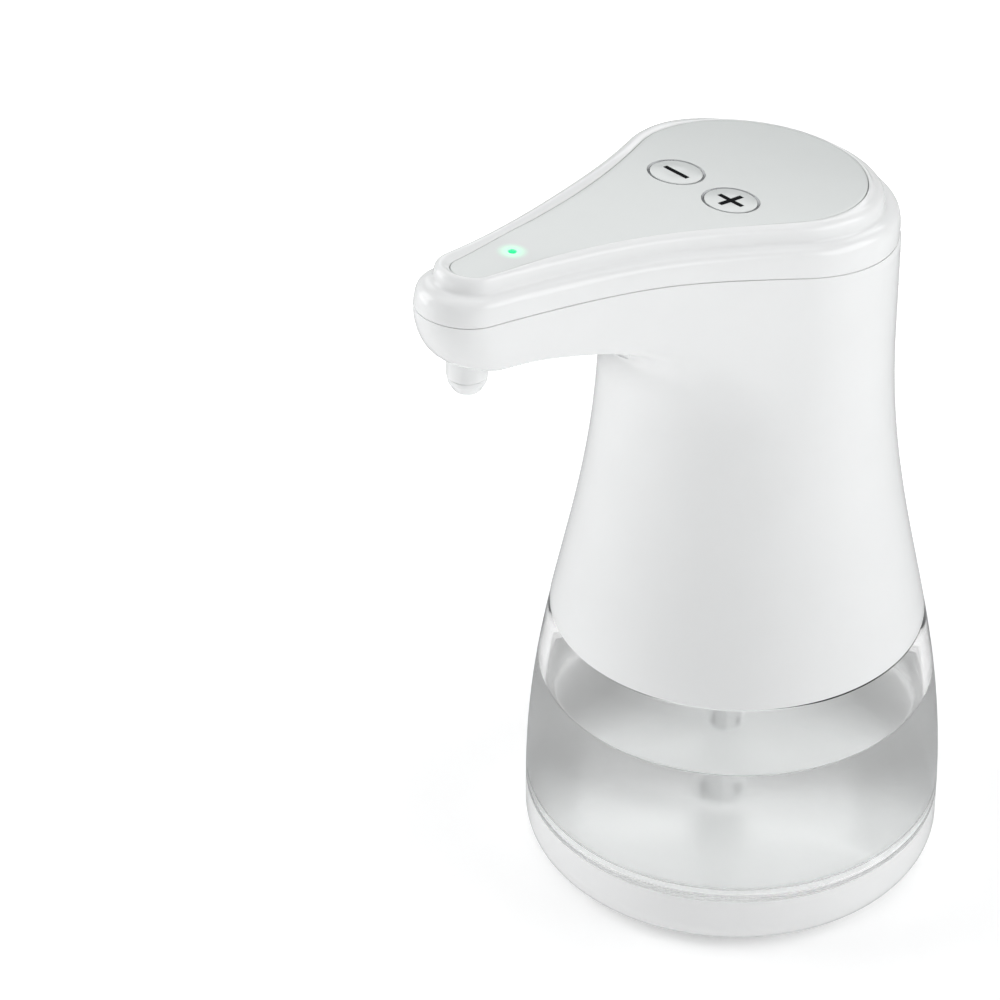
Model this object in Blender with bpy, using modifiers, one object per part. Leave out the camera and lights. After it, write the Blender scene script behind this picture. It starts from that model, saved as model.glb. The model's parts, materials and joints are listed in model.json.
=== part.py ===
"""An automatic soap dispenser that stands on a shelf: a clear tank on a white foot, and a pump head turned off it.

The origin is the middle of the non-slip pad under the foot. +Z is up, and the spout reaches towards -Y.
The head's cover, panel and buttons are laid out in a frame of their own, which rises towards the spout. There,
-Y runs along the panel to the tip, and a depth counts down from the panel's face.
"""

import functools
import math

import bmesh
import bpy
from mathutils import Vector

# Foot and tank
FOOT_HEIGHT = 0.0151
TANK_RADIUS = 0.0499
FOOT_EDGE_RADIUS = 0.0077
FOOT_WALL = 0.0034
FOOT_FLOOR = 0.0024
PAD_MARGIN = 0.0017
PAD_THICKNESS = 0.0013
PAD_PROUD = 0.0003
TANK_TOP_Z = 0.0670
TANK_WALL = 0.0028
TANK_FLOOR = 0.0030
TANK_CORNER = 0.0040
FOOT_SPIGOT = 0.0030
MOUTH_RADIUS = 0.0310
COLLAR_WALL = 0.0025
COLLAR_HEIGHT = 0.0120

# Flank of the whole body, an S from the foot to the neck
FLANK_BASE_Z = 0.0151
FLANK_TOP_Z = 0.1450
NECK_RADIUS = 0.0337
FLANK_LOWER_SHARE = 0.40
FLANK_UPPER_SHARE = 0.42
SKIRT_CLEARANCE = 0.00065

# Head: the panel's plane and outline
HEAD_Z = 0.1843
HEAD_TILT_DEG = 7.68
PANEL_REAR_RADIUS = 0.0262
PANEL_REAR_CENTRE = -0.0006
REAR_SHIFT_SHARE = 0.20
PANEL_TIP_CENTRE = -0.0860
PANEL_TIP_RADIUS = 0.0046
TIP_OFFSET_SHARE = 0.76
TIP_SHIFT_SHARE = -0.267
REAR_TANGENT_DEG = 24.2
TIP_TANGENT_DEG = 5.1
PANEL_THICKNESS = 0.0018
TIP_DIP = 0.0013
TIP_DIP_START = -0.0660

# Cover: two rounded steps round the panel, down to the parting line. Each point is (offset from the panel, depth)
COVER_OFFSET = 0.0075
PARTING_DEPTH = 0.0093
SEAM_OFFSET = 0.00025
CREST_OFFSET = 0.0016
SHOULDER_OFFSET = 0.0030
STEP_OFFSET = 0.0037
COVER_PROFILE = (
    (SEAM_OFFSET, -0.0002),
    (CREST_OFFSET, -0.0003),
    (SHOULDER_OFFSET, 0.0002),
    (STEP_OFFSET, 0.0012),
    (0.0038, 0.0030),
    (0.0044, 0.0040),
    (0.0058, 0.00435),
    (0.0070, 0.0052),
    (0.00745, 0.0067),
    (COVER_OFFSET, PARTING_DEPTH),
    (0.0034, PARTING_DEPTH),
    (0.0034, 0.0108),
    (0.0024, 0.0108),
    (0.0024, 0.0070),
    (0.0016, 0.0056),
    (-0.0024, 0.0037),
    (-0.0024, 0.0021),
    (SEAM_OFFSET, 0.0021),
)

# Crown of the cover: its steps arch along the flanks and fall away behind the panel
CREST_LIFT = 0.00095
CREST_Y = -0.0460
CREST_SPREAD = 0.0260
REAR_FALL = 0.0013
REAR_FALL_START = -0.0020
REAR_FALL_LENGTH = 0.0300
REAR_FALL_SHARE = 0.35

# Shell: wall, and the spout's underside as seen from the side
SHELL_WALL = 0.0022
CHIN_DROP = 0.0160
CHIN_LENGTH = 0.0166
UNDERSIDE_FOOT_Z = 0.1350
CHIN_LIFT_SHARE = 0.05
ARCH_RUN_SHARE = 0.667
ARCH_DROP_SHARE = 0.05
ARCH_RISE_SHARE = 0.38
LEAST_SHARE = 0.004

# Clearances
GAP = 0.0003
SLIDING = 0.0002
BEARING = 0.0001
OVERRUN = 0.0010

# Bayonet between the tank's collar and the chassis
LUG_COUNT = 3
LUG_DEG = 26.0
LUG_START_DEG = 30.0
LUG_DEPTH = 0.0024
LUG_HEIGHT = 0.0028
LUG_Z = 0.0725
LEDGE_HEIGHT = 0.0030
TWIST_DEG = 30.0
STOP_DEG = 3.0
STOP_GAP_DEG = 1.0
LUG_CLEARANCE = 0.0004
SKIRT_WALL = 0.0018
SKIRT_RADIUS = MOUTH_RADIUS + COLLAR_WALL + LUG_DEPTH + LUG_CLEARANCE + SKIRT_WALL

# Chassis and its screws
CHASSIS_Z = 0.0811
CHASSIS_THICKNESS = 0.0020
SCREW_ANGLES_DEG = (13.0, 167.0, 216.0, 324.0)
SCREW_MARGIN = 0.0017
SCREW_RADIUS = 0.0013
SCREW_HEAD_RADIUS = 0.0023
SCREW_HEAD_HEIGHT = 0.0016
SCREW_SOCKET_RADIUS = 0.0012
SCREW_SOCKET_DEPTH = 0.0009
SCREW_LENGTH = 0.0100
BOSS_RADIUS = 0.0030
BOSS_HEIGHT = 0.0150
BOSS_WEB = 0.0016

# Tank seal
SEAL_THICKNESS = 0.0015
SEAL_INSET = 0.0002

# Battery bay
CELL_RADIUS = 0.00525
CELL_LENGTH = 0.0445
CELL_NUB_RADIUS = 0.0019
CELL_NUB_HEIGHT = 0.0008
CELL_PITCH = 0.0111
CELL_PLAY = 0.00025
BAY_WALL = 0.0012
BAY_CORNER = 0.0030
CASE_CLEARANCE = 0.0019
CONTACT_THICKNESS = 0.0004
CONTACT_WIDTH = 0.0070
CONTACT_DOME_RADIUS = 0.0022
CONTACT_TIP_RADIUS = 0.0012
CONTACT_DOME_HEIGHT = 0.0012
DOOR_THICKNESS = 0.0015
DOOR_MARGIN = 0.0015
DOOR_CLEARANCE = 0.00105
DOOR_SEAL_THICKNESS = 0.0008
DOOR_SEAL_WIDTH = 0.0010
DOOR_GRIP_LENGTH = 0.0100
DOOR_GRIP_WIDTH = 0.0016
DOOR_GRIP_HEIGHT = 0.0020

# Gear pump
PUMP_MODULE = 0.0010
PUMP_TEETH = 10
PUMP_GEAR_LENGTH = 0.0064
PUMP_WALL = 0.0020
PUMP_CORNER = 0.0060
PUMP_FLOOR = 0.0030
PUMP_COVER_THICKNESS = 0.0035
PUMP_SHAFT_RADIUS = 0.0015
SHAFT_HOLE_DEPTH = 0.0020
SHAFT_STANDS_OUT = 0.0005
PORT_RADIUS = 0.0010
ARM_HALF_WIDTH = 0.0026
INLET_CLEARANCE = 0.0029
INLET_RUN = 0.0064
OUTLET_X = -0.0012
OUTLET_RUN = 0.0025
SPIGOT_RADIUS = 0.0016
INLET_SPIGOT_LENGTH = 0.0070
OUTLET_SPIGOT_LENGTH = 0.0080

# Reduction gear and motor
DRIVE_MODULE = 0.0005
DRIVE_TEETH = 36
PINION_TEETH = 12
BACKLASH = 0.00008
ADDENDUM_SHARE = 0.80
DEDENDUM_SHARE = 1.15
LEAST_UNDERCUT_SHARE = 0.97
DRIVE_GEAR_GAP = 0.0010
DRIVE_GEAR_WIDTH = 0.0036
DRIVE_HUB_RADIUS = 0.0034
DRIVE_HUB_HEIGHT = 0.0006
PINION_OVERLAP = 0.0004
BRACKET_THICKNESS = 0.0016
BRACKET_GAP = 0.0012
BRACKET_CORNER = 0.0050
BRACKET_EDGE = 0.0005
POST_RADIUS = 0.0015
POST_CLEARANCE = 0.0022
REAR_POST_CLEARANCE = 0.0029
REAR_POST_X = 0.0110
MOTOR_RADIUS = 0.0100
MOTOR_FLAT = 0.0076
MOTOR_LENGTH = 0.0250
MOTOR_SHAFT_RADIUS = 0.0010
MOTOR_SHAFT_DEPTH = 0.0060
MOTOR_BOSS_RADIUS = 0.0031
MOTOR_BOSS_HEIGHT = 0.0012
END_CAP_THICKNESS = 0.0022
TERMINAL_HEIGHT = 0.0028
TERMINAL_SPREAD = 0.0060
TERMINAL_THICKNESS = 0.0005
TERMINAL_WIDTH = 0.0020

# Suction tube, strainer, hose
TUBE_RADIUS = 0.0027
TUBE_WALL = 0.0008
TUBE_FOOT_GAP = 0.0045
STRAINER_RADIUS = 0.0044
STRAINER_WALL = 0.0009
STRAINER_HEIGHT = 0.0080
STRAINER_FOOT_GAP = 0.0010
STRAINER_SLOT_WIDTH = 0.0012
STRAINER_SLOT_HEIGHT = 0.0036
HOSE_RADIUS = 0.0024
HOSE_BORE = 0.0019
HOSE_CLEARANCE = 0.0004
HOSE_BEND_Z = 0.1560
HOSE_CREST_Y = -0.0600
HOSE_BEND = 0.0160

# Nozzle
NOZZLE_Y = -0.0869
NOZZLE_BOTTOM_Z = 0.1670
NOZZLE_TOP_Z = 0.1860
NOZZLE_RADIUS = 0.0044
NOZZLE_BORE = 0.0030
NOZZLE_FLANGE_Z = 0.1800
NOZZLE_FLANGE_RADIUS = 0.0049
NOZZLE_FLANGE_THICKNESS = 0.0010
NOZZLE_ELBOW_Z = 0.1832
NOZZLE_BARB_LENGTH = 0.0105
TIP_DROP = 0.0036
TIP_TOP_RADIUS = 0.0038
TIP_END_RADIUS = 0.0026
TIP_BORE = 0.0017
TIP_PLUG = 0.0030
VALVE_RADIUS = 0.0027
VALVE_END_RADIUS = 0.0012
VALVE_FLANGE = 0.0006
VALVE_HEIGHT = 0.0030
VALVE_WALL = 0.0005

# Buttons, rings and status light, in the head's frame
BUTTON_X = 0.0084
BUTTON_Y = -0.0159
BUTTON_RADIUS = 0.0058
BUTTON_TRAVEL = 0.0005
BUTTON_EDGE = 0.0003
FLANGE_RADIUS = 0.0069
FLANGE_THICKNESS = 0.0008
RING_RADIUS = 0.0065
RING_WIDTH = 0.00045
RING_THICKNESS = 0.0008
SWITCH_SIZE = 0.0060
SWITCH_HEIGHT = 0.0019
PLUNGER_RADIUS = 0.0015
LIGHT_Y = -0.0743
LIGHT_RADIUS = 0.0008
LIGHT_FLANGE_RADIUS = 0.0015
LIGHT_FLANGE_THICKNESS = 0.0008
LIGHT_CHIP_SIZE = 0.0016
LIGHT_CHIP_HEIGHT = 0.0006

# Control board
BOARD_DEPTH = 0.0060
BOARD_THICKNESS = 0.0012
BOARD_INSET = 0.0005
PEG_INSET = 0.0027
PEG_RADIUS = 0.0012
PEG_END = 0.0004

# Infrared sensor
SENSOR_Y = -0.0450
WINDOW_HALF_WIDTH = 0.0098
WINDOW_HALF_HEIGHT = 0.0038
WINDOW_THICKNESS = 0.0014
SENSOR_BOARD_GAP = 0.0075
SENSOR_BOARD_HALF_WIDTH = 0.0125
SENSOR_BOARD_HALF_HEIGHT = 0.0036
SENSOR_BOARD_THICKNESS = 0.0010
SENSOR_POST_X = 0.0116
SENSOR_POST_RADIUS = 0.0010
EYE_RADIUS = 0.0015
EYE_HEIGHT = 0.0030
EYE_SPREAD = 0.0036

# Places that follow from the sizes above, from the bay at the back to the outlet at the front
PAD_RADIUS = TANK_RADIUS - FOOT_EDGE_RADIUS - PAD_MARGIN
SCREW_CIRCLE = MOUTH_RADIUS - SCREW_HEAD_RADIUS - SCREW_MARGIN
BAY_HALF = CELL_PITCH / 2 + CELL_RADIUS + CELL_PLAY
DOOR_CORNER = BAY_HALF + DOOR_MARGIN - BAY_CORNER
CASE_CORNER = BAY_HALF + BAY_WALL - BAY_CORNER
MOUTH_ROOM = MOUTH_RADIUS - DOOR_CLEARANCE - BAY_CORNER
NECK_ROOM = NECK_RADIUS - SHELL_WALL - CASE_CLEARANCE - BAY_CORNER
BAY_Y = min(
    math.sqrt(MOUTH_ROOM**2 - DOOR_CORNER**2) - DOOR_CORNER,
    math.sqrt(NECK_ROOM**2 - CASE_CORNER**2) - CASE_CORNER,
)
INLET_Y = BAY_Y - BAY_HALF - DOOR_MARGIN - INLET_CLEARANCE - TUBE_RADIUS
PUMP_HALF = PUMP_MODULE * PUMP_TEETH / 2
PUMP_REACH = PUMP_HALF + PUMP_MODULE * ADDENDUM_SHARE + GAP + PUMP_WALL
PUMP_Y = INLET_Y - PUMP_REACH - INLET_RUN
OUTLET_Y = PUMP_Y - PUMP_REACH - OUTLET_RUN
POST_X = PUMP_HALF + PUMP_REACH + POST_CLEARANCE + POST_RADIUS
REAR_POST_Y = PUMP_Y + PUMP_REACH + REAR_POST_CLEARANCE + POST_RADIUS
POST_PLACES = ((-POST_X, PUMP_Y), (POST_X, PUMP_Y), (REAR_POST_X, REAR_POST_Y), (-REAR_POST_X, REAR_POST_Y))
BRACKET_HALF_WIDTH = POST_X + POST_RADIUS + BRACKET_EDGE
BRACKET_FRONT_Y = OUTLET_Y + HOSE_RADIUS + HOSE_CLEARANCE
BRACKET_REAR_Y = REAR_POST_Y + POST_RADIUS + BRACKET_EDGE

# Facets
BODY_STEPS = 32
PIECE_STEPS = 16
SMALL_STEPS = 8
HOSE_STEPS = 10
HALF_POINTS = 17
FINE_STEPS = 24
TURN_LENGTH = 0.0200
CHIN_RINGS = 3
UNDERSIDE_RINGS = 7
NECK_RINGS = 4
FLANK_RINGS = 4
EDGE_STEPS = 3
PUMP_FLANK_STEPS = 2
BLOCK_STEPS = 24
DRIVE_FLANK_STEPS = 1

COLLECTION_NAME = "soap_dispenser"
CUTTER_COLLECTION_NAME = "cutters"
MERGE = 0.00001
PRESSURE_ANGLE = math.radians(20)
HEAD_TILT = math.radians(HEAD_TILT_DEG)
SHARP = math.radians(32)

COLOURS = {
    "white_gloss": ((0.90, 0.91, 0.91), 0.12, 0.0, 0.0),
    "panel_grey": ((0.80, 0.82, 0.82), 0.30, 0.0, 0.0),
    "clear_plastic": ((0.93, 0.95, 0.95), 0.03, 0.0, 0.95),
    "smoked_window": ((0.55, 0.57, 0.57), 0.10, 0.0, 0.0),
    "light_green": ((0.10, 0.90, 0.50), 0.20, 0.0, 0.0),
    "ring_grey": ((0.35, 0.36, 0.37), 0.25, 1.0, 0.0),
    "inner_plastic": ((0.78, 0.78, 0.76), 0.45, 0.0, 0.0),
    "pump_plastic": ((0.85, 0.85, 0.82), 0.40, 0.0, 0.0),
    "gear_plastic": ((0.90, 0.88, 0.80), 0.35, 0.0, 0.0),
    "steel": ((0.60, 0.61, 0.62), 0.25, 1.0, 0.0),
    "contact_metal": ((0.75, 0.74, 0.70), 0.30, 1.0, 0.0),
    "cell_wrap": ((0.16, 0.17, 0.18), 0.35, 0.0, 0.0),
    "board_green": ((0.05, 0.28, 0.14), 0.40, 0.0, 0.0),
    "black_plastic": ((0.03, 0.03, 0.03), 0.40, 0.0, 0.0),
    "silicone": ((0.80, 0.80, 0.78), 0.55, 0.0, 0.0),
    "rubber_grey": ((0.30, 0.31, 0.32), 0.80, 0.0, 0.0),
}


def clear_scene():
    for item in list(bpy.data.objects):
        bpy.data.objects.remove(item, do_unlink=True)


def collection(name):
    made = bpy.data.collections.new(name)
    bpy.context.scene.collection.children.link(made)
    return made


def material(name):
    made = bpy.data.materials.get(name)
    if made:
        return made
    colour, roughness, metallic, transmission = COLOURS[name]
    made = bpy.data.materials.new(name)
    made.use_nodes = True
    shader = made.node_tree.nodes["Principled BSDF"]
    shader.inputs["Base Color"].default_value = (*colour, 1.0)
    shader.inputs["Roughness"].default_value = roughness
    shader.inputs["Metallic"].default_value = metallic
    shader.inputs["Transmission Weight"].default_value = transmission
    made.diffuse_color = (*colour, 1.0)
    return made


def finish_mesh(bm, name):
    bmesh.ops.recalc_face_normals(bm, faces=bm.faces[:])
    mesh = bpy.data.meshes.new(name)
    bm.to_mesh(mesh)
    bm.free()
    return mesh


def place(name, mesh, look, at=(0, 0, 0), frame=None):
    """Puts a mesh in the scene as a named piece, under the empty of a tilted frame if it has one."""
    made = bpy.data.objects.new(name, mesh)
    mesh.materials.append(material(look))
    mesh.shade_smooth()
    mesh.set_sharp_from_angle(angle=SHARP)
    bpy.data.collections[COLLECTION_NAME].objects.link(made)
    made.parent = frame
    made.location = at
    return made


def helper(name, mesh, at=(0, 0, 0), frame=None):
    """A cutter, or a piece that a union takes in."""
    made = bpy.data.objects.new(name, mesh)
    bpy.data.collections[CUTTER_COLLECTION_NAME].objects.link(made)
    made.parent = frame
    made.location = at
    made.hide_render = True
    made.display_type = "WIRE"
    return made


def boolean(target, other, operation):
    step = target.modifiers.new(f"{operation.lower()} {other.name}", "BOOLEAN")
    step.operation = operation
    step.object = other
    return step


def cut(target, mesh, at=(0, 0, 0), frame=None):
    return boolean(target, helper(f"cut {target.name}", mesh, at, frame), "DIFFERENCE")


def join(target, mesh, at=(0, 0, 0), frame=None):
    return boolean(target, helper(f"join {target.name}", mesh, at, frame), "UNION")


def cylinder_mesh(radius, bottom, top, steps=PIECE_STEPS, end_radius=None):
    bm = bmesh.new()
    end = radius if end_radius is None else end_radius
    bmesh.ops.create_cone(
        bm, cap_ends=True, segments=steps, radius1=radius, radius2=end, depth=top - bottom
    )
    bmesh.ops.translate(bm, verts=bm.verts[:], vec=(0, 0, (top + bottom) / 2))
    return finish_mesh(bm, "cylinder")


def box_mesh(low, high):
    bm = bmesh.new()
    bmesh.ops.create_cube(bm, size=1)
    size = [b - a for a, b in zip(low, high)]
    middle = [(a + b) / 2 for a, b in zip(low, high)]
    bmesh.ops.scale(bm, verts=bm.verts[:], vec=size)
    bmesh.ops.translate(bm, verts=bm.verts[:], vec=middle)
    return finish_mesh(bm, "box")


def prism_mesh(outline, bottom, top):
    """A flat outline, counter-clockwise from above, made into a slab."""
    bm = bmesh.new()
    face = bm.faces.new([bm.verts.new((x, y, bottom)) for x, y in outline])
    raised = bmesh.ops.extrude_face_region(bm, geom=[face])["geom"]
    lifted = [item for item in raised if isinstance(item, bmesh.types.BMVert)]
    bmesh.ops.translate(bm, verts=lifted, vec=(0, 0, top - bottom))
    return finish_mesh(bm, "prism")


def turned(name, profile, look, steps=PIECE_STEPS, at=(0, 0, 0), frame=None):
    """A turned piece: its profile, with a Screw modifier. The outer side runs from top to bottom."""
    bm = bmesh.new()
    points = [bm.verts.new((radius, 0, height)) for radius, height in profile]
    for pair in zip(points, points[1:]):
        bm.edges.new(pair)
    if profile[0][0] > 0:
        bm.edges.new((points[-1], points[0]))
    mesh = bpy.data.meshes.new(name)
    bm.to_mesh(mesh)
    bm.free()
    made = place(name, mesh, look, at, frame)
    screw = made.modifiers.new("turn", "SCREW")
    screw.steps = screw.render_steps = steps
    screw.use_merge_vertices = True
    screw.merge_threshold = MERGE
    screw.use_smooth_shade = True
    return made


def sector_mesh(inner, outer, bottom, top, middle_deg, span_deg, steps=3):
    """A block bent round the axis, such as a bayonet lug."""
    bm = bmesh.new()
    start = math.radians(middle_deg - span_deg / 2)
    corners = ((inner, bottom), (outer, bottom), (outer, top), (inner, top))
    face = bm.faces.new(
        [bm.verts.new((r * math.cos(start), r * math.sin(start), z)) for r, z in corners]
    )
    bmesh.ops.spin(
        bm, geom=[face], cent=(0, 0, 0), axis=(0, 0, 1), angle=math.radians(span_deg), steps=steps
    )
    return finish_mesh(bm, "sector")


def loft_mesh(rings, shape):
    """Skins rings of points that run counter-clockwise from above, top ring first.

    shape is OPEN for a skin, or RING where the last ring meets the first and so closes a solid.
    """
    bm = bmesh.new()
    rows = [[bm.verts.new(point) for point in ring] for ring in rings]
    pairs = list(zip(rows, rows[1:]))
    if shape == "RING":
        pairs.append((rows[-1], rows[0]))
    for upper, lower in pairs:
        for i in range(len(upper)):
            j = (i + 1) % len(upper)
            bm.faces.new((upper[i], lower[i], lower[j], upper[j]))
    if shape == "RING":
        return finish_mesh(bm, "loft")
    mesh = bpy.data.meshes.new("loft")
    bm.to_mesh(mesh)
    bm.free()
    return mesh


def mix(a, b, share):
    return a + (b - a) * share


def bezier(points, share):
    """A point on the Bezier curve of any number of control points."""
    while len(points) > 1:
        points = [
            tuple(mix(a, b, share) for a, b in zip(first, second))
            for first, second in zip(points, points[1:])
        ]
    return points[0]


def bisect(function, wanted, low, high):
    """Where a rising function reaches the wanted value."""
    for _ in range(40):
        middle = (low + high) / 2
        if function(middle) < wanted:
            low = middle
        else:
            high = middle
    return (low + high) / 2


def arc(centre_x, centre_y, radius, start, end, steps):
    """Points on an arc, both ends included, with angles in radians."""
    return [
        (
            centre_x + radius * math.cos(mix(start, end, i / steps)),
            centre_y + radius * math.sin(mix(start, end, i / steps)),
        )
        for i in range(steps + 1)
    ]


def rounded_rectangle(half_x, low_y, high_y, corner):
    """Counter-clockwise from above, from the right side of the front edge."""
    quarter = math.pi / 2
    places = (
        (half_x - corner, low_y + corner, -quarter),
        (half_x - corner, high_y - corner, 0),
        (-half_x + corner, high_y - corner, quarter),
        (-half_x + corner, low_y + corner, 2 * quarter),
    )
    points = []
    for x, y, start in places:
        points += arc(x, y, corner, start, start + quarter, EDGE_STEPS)
    return points


def radius_on(curve, z):
    share = bisect(lambda s: bezier(curve, s)[1], z, 0, 1)
    return bezier(curve, share)[0]


@functools.cache
def flank_curve():
    """The body's flank, an S whose ends run straight up. It bends where it leaves room for the chassis skirt."""
    rise = FLANK_TOP_Z - FLANK_BASE_Z

    def bent(shift):
        return (
            (TANK_RADIUS, FLANK_BASE_Z),
            (TANK_RADIUS, FLANK_BASE_Z + rise * (FLANK_LOWER_SHARE + shift)),
            (NECK_RADIUS, FLANK_TOP_Z - rise * (FLANK_UPPER_SHARE - shift)),
            (NECK_RADIUS, FLANK_TOP_Z),
        )

    wanted = SKIRT_RADIUS + SKIRT_CLEARANCE + SHELL_WALL
    skirt_top = CHASSIS_Z + CHASSIS_THICKNESS
    shift = bisect(
        lambda s: radius_on(bent(s), skirt_top), wanted, -FLANK_LOWER_SHARE, FLANK_UPPER_SHARE
    )
    return bent(shift)


def body_radius(z):
    return NECK_RADIUS if z >= FLANK_TOP_Z else radius_on(flank_curve(), z)


def flank(rear_centre, rear_radius, tip_centre, tip_radius):
    """Control points of the hollow flank that joins a teardrop's rear arc to its tip arc."""
    rear, tip = math.radians(REAR_TANGENT_DEG), math.radians(TIP_TANGENT_DEG)
    start = Vector((rear_radius * math.cos(rear), rear_centre - rear_radius * math.sin(rear)))
    end = Vector((tip_radius * math.cos(tip), tip_centre - tip_radius * math.sin(tip)))
    along_rear = Vector((math.sin(rear), math.cos(rear)))
    along_tip = Vector((math.sin(tip), math.cos(tip)))
    across = along_rear.x * along_tip.y - along_rear.y * along_tip.x
    gap = start - end
    run = (gap.x * along_tip.y - gap.y * along_tip.x) / across
    middle = start - along_rear * run
    return tuple(start), tuple(middle), tuple(end)


def tip_of(curve, share):
    """Where the flank ends at a share of its length, and the arc that closes it there: centre, radius, angle."""
    end = bezier(curve, share)
    before = mix(Vector(curve[0]), Vector(curve[1]), share)
    after = mix(Vector(curve[1]), Vector(curve[2]), share)
    course = (after - before).normalized()
    normal = Vector((-course.y, course.x))
    radius = end[0] / normal.x
    return end[1] - radius * normal.y, radius, math.atan2(normal.y, normal.x)


def resampled(points, count):
    """Picks count + 1 points along a line, closer together where it bends."""
    steps = [Vector(b) - Vector(a) for a, b in zip(points, points[1:])]
    turns = [abs(a.angle_signed(b, 0)) for a, b in zip(steps, steps[1:])]
    turns = [0] + turns + [0]
    reached = [0]
    for i, step in enumerate(steps):
        reached.append(reached[-1] + step.length + TURN_LENGTH * (turns[i] + turns[i + 1]) / 2)
    picked = []
    place_at = 0
    for k in range(count + 1):
        wanted = reached[-1] * k / count
        while place_at < len(steps) - 1 and reached[place_at + 1] < wanted:
            place_at += 1
        share = (wanted - reached[place_at]) / (reached[place_at + 1] - reached[place_at])
        picked.append(tuple(mix(Vector(points[place_at]), Vector(points[place_at + 1]), share)))
    return picked


def teardrop(rear_centre, rear_radius, tip_centre, tip_radius, share=1.0):
    """A teardrop, counter-clockwise from the rear. Below a share of 1 its tip is drawn in along the flank."""
    curve = flank(rear_centre, rear_radius, tip_centre, tip_radius)
    centre, radius, angle = tip_of(curve, share)
    part = (curve[0], tuple(mix(Vector(curve[0]), Vector(curve[1]), share)), bezier(curve, share))
    quarter = math.pi / 2
    half = arc(0, rear_centre, rear_radius, quarter, -math.radians(REAR_TANGENT_DEG), FINE_STEPS)
    half += [bezier(part, i / FINE_STEPS) for i in range(1, FINE_STEPS)]
    half += arc(0, centre, radius, angle, -quarter, FINE_STEPS)
    half = resampled(half, HALF_POINTS)
    left = [(-x, y) for x, y in half[:-1]]
    return left + half[:0:-1]


def head_outline(offset):
    """The panel's outline moved outwards, in the head's frame."""
    return teardrop(
        PANEL_REAR_CENTRE + REAR_SHIFT_SHARE * offset,
        PANEL_REAR_RADIUS + offset,
        PANEL_TIP_CENTRE + TIP_SHIFT_SHARE * offset,
        PANEL_TIP_RADIUS + offset * TIP_OFFSET_SHARE,
    )


def held(share):
    return min(max(share, 0), 1)


def eased(share):
    return held(share) ** 2 * (3 - 2 * held(share))


def tip_dip(y):
    """How far the panel bends down towards its tip."""
    end = PANEL_TIP_CENTRE - PANEL_TIP_RADIUS
    return TIP_DIP * eased((y - TIP_DIP_START) / (end - TIP_DIP_START))


def crown(y, offset):
    """How far a point of the cover stands over its depth: inside it follows the panel, outside its own arch."""
    arch = CREST_LIFT * math.exp(-(((y - CREST_Y) / CREST_SPREAD) ** 2))
    fall = REAR_FALL * eased((y - REAR_FALL_START) / REAR_FALL_LENGTH)
    outer = held((offset - STEP_OFFSET) / (COVER_OFFSET - STEP_OFFSET))
    raised = held((offset - SEAM_OFFSET) / (CREST_OFFSET - SEAM_OFFSET))
    dipped = 1 - held(offset / SHOULDER_OFFSET)
    return raised * (arch - fall * mix(1, REAR_FALL_SHARE, outer)) - dipped * tip_dip(y)


def head_ring(offset, depth):
    """The outline at an offset and a depth. Below the parting line all of it follows the shell's edge."""
    follows = COVER_OFFSET if depth >= PARTING_DEPTH else offset
    return [(x, y, crown(y, follows) - depth) for x, y in head_outline(offset)]


def from_head(point):
    """A point of the head's frame, in the world."""
    x, y, z = point
    sine, cosine = math.sin(HEAD_TILT), math.cos(HEAD_TILT)
    return x, y * cosine + z * sine, HEAD_Z - y * sine + z * cosine


def tilted_frame(name, at, tilt):
    empty = bpy.data.objects.new(name, None)
    bpy.data.collections[COLLECTION_NAME].objects.link(empty)
    empty.location = at
    empty.rotation_euler = (tilt, 0, 0)
    return empty


def parting_ring():
    """The shell's upper edge: the cover's outline at the parting line, in the world."""
    return [from_head(point) for point in head_ring(COVER_OFFSET, PARTING_DEPTH + GAP)]


def underside():
    """The chin and the underside in the plane of symmetry, as two Bezier curves of (y, z)."""
    _, front_y, front_z = parting_ring()[HALF_POINTS]
    nozzle_y, nozzle_z = front_y + CHIN_LENGTH, front_z - CHIN_DROP
    neck_y = -body_radius(UNDERSIDE_FOOT_Z)
    drop = nozzle_z - UNDERSIDE_FOOT_Z
    chin = (
        (front_y, front_z),
        (front_y, front_z - CHIN_DROP / 2),
        (front_y + CHIN_LENGTH / 2, nozzle_z + CHIN_DROP * CHIN_LIFT_SHARE),
        (nozzle_y, nozzle_z),
    )
    arch = (
        (nozzle_y, nozzle_z),
        (mix(nozzle_y, neck_y, ARCH_RUN_SHARE), mix(nozzle_z, UNDERSIDE_FOOT_Z, ARCH_DROP_SHARE)),
        (neck_y, UNDERSIDE_FOOT_Z + drop * ARCH_RISE_SHARE),
        (neck_y, UNDERSIDE_FOOT_Z),
    )
    return chin, arch


def spout_ring(front_y, front_z, top_rear_z, top_front_z):
    """A section of the shell whose tip is at a point of the underside. It levels out further down."""
    drop_share = (top_front_z - front_z) / (top_front_z - UNDERSIDE_FOOT_Z)
    rear_z = mix(top_rear_z, UNDERSIDE_FOOT_Z, drop_share)
    rear_radius = body_radius(rear_z)
    tip_radius = PANEL_TIP_RADIUS + COVER_OFFSET * TIP_OFFSET_SHARE
    tip_y = PANEL_TIP_CENTRE + TIP_SHIFT_SHARE * COVER_OFFSET
    _, tip_centre, _ = from_head((0, tip_y, -PARTING_DEPTH))
    curve = flank(0, rear_radius, tip_centre, tip_radius)

    def reach(share):
        centre, radius, _ = tip_of(curve, share)
        return radius - centre

    share = max(bisect(reach, -front_y, 0, 1), LEAST_SHARE)
    outline = teardrop(0, rear_radius, tip_centre, tip_radius, share)
    depth = rear_radius - front_y
    return [(x, y, mix(front_z, rear_z, (y - front_y) / depth)) for x, y in outline]


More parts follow.
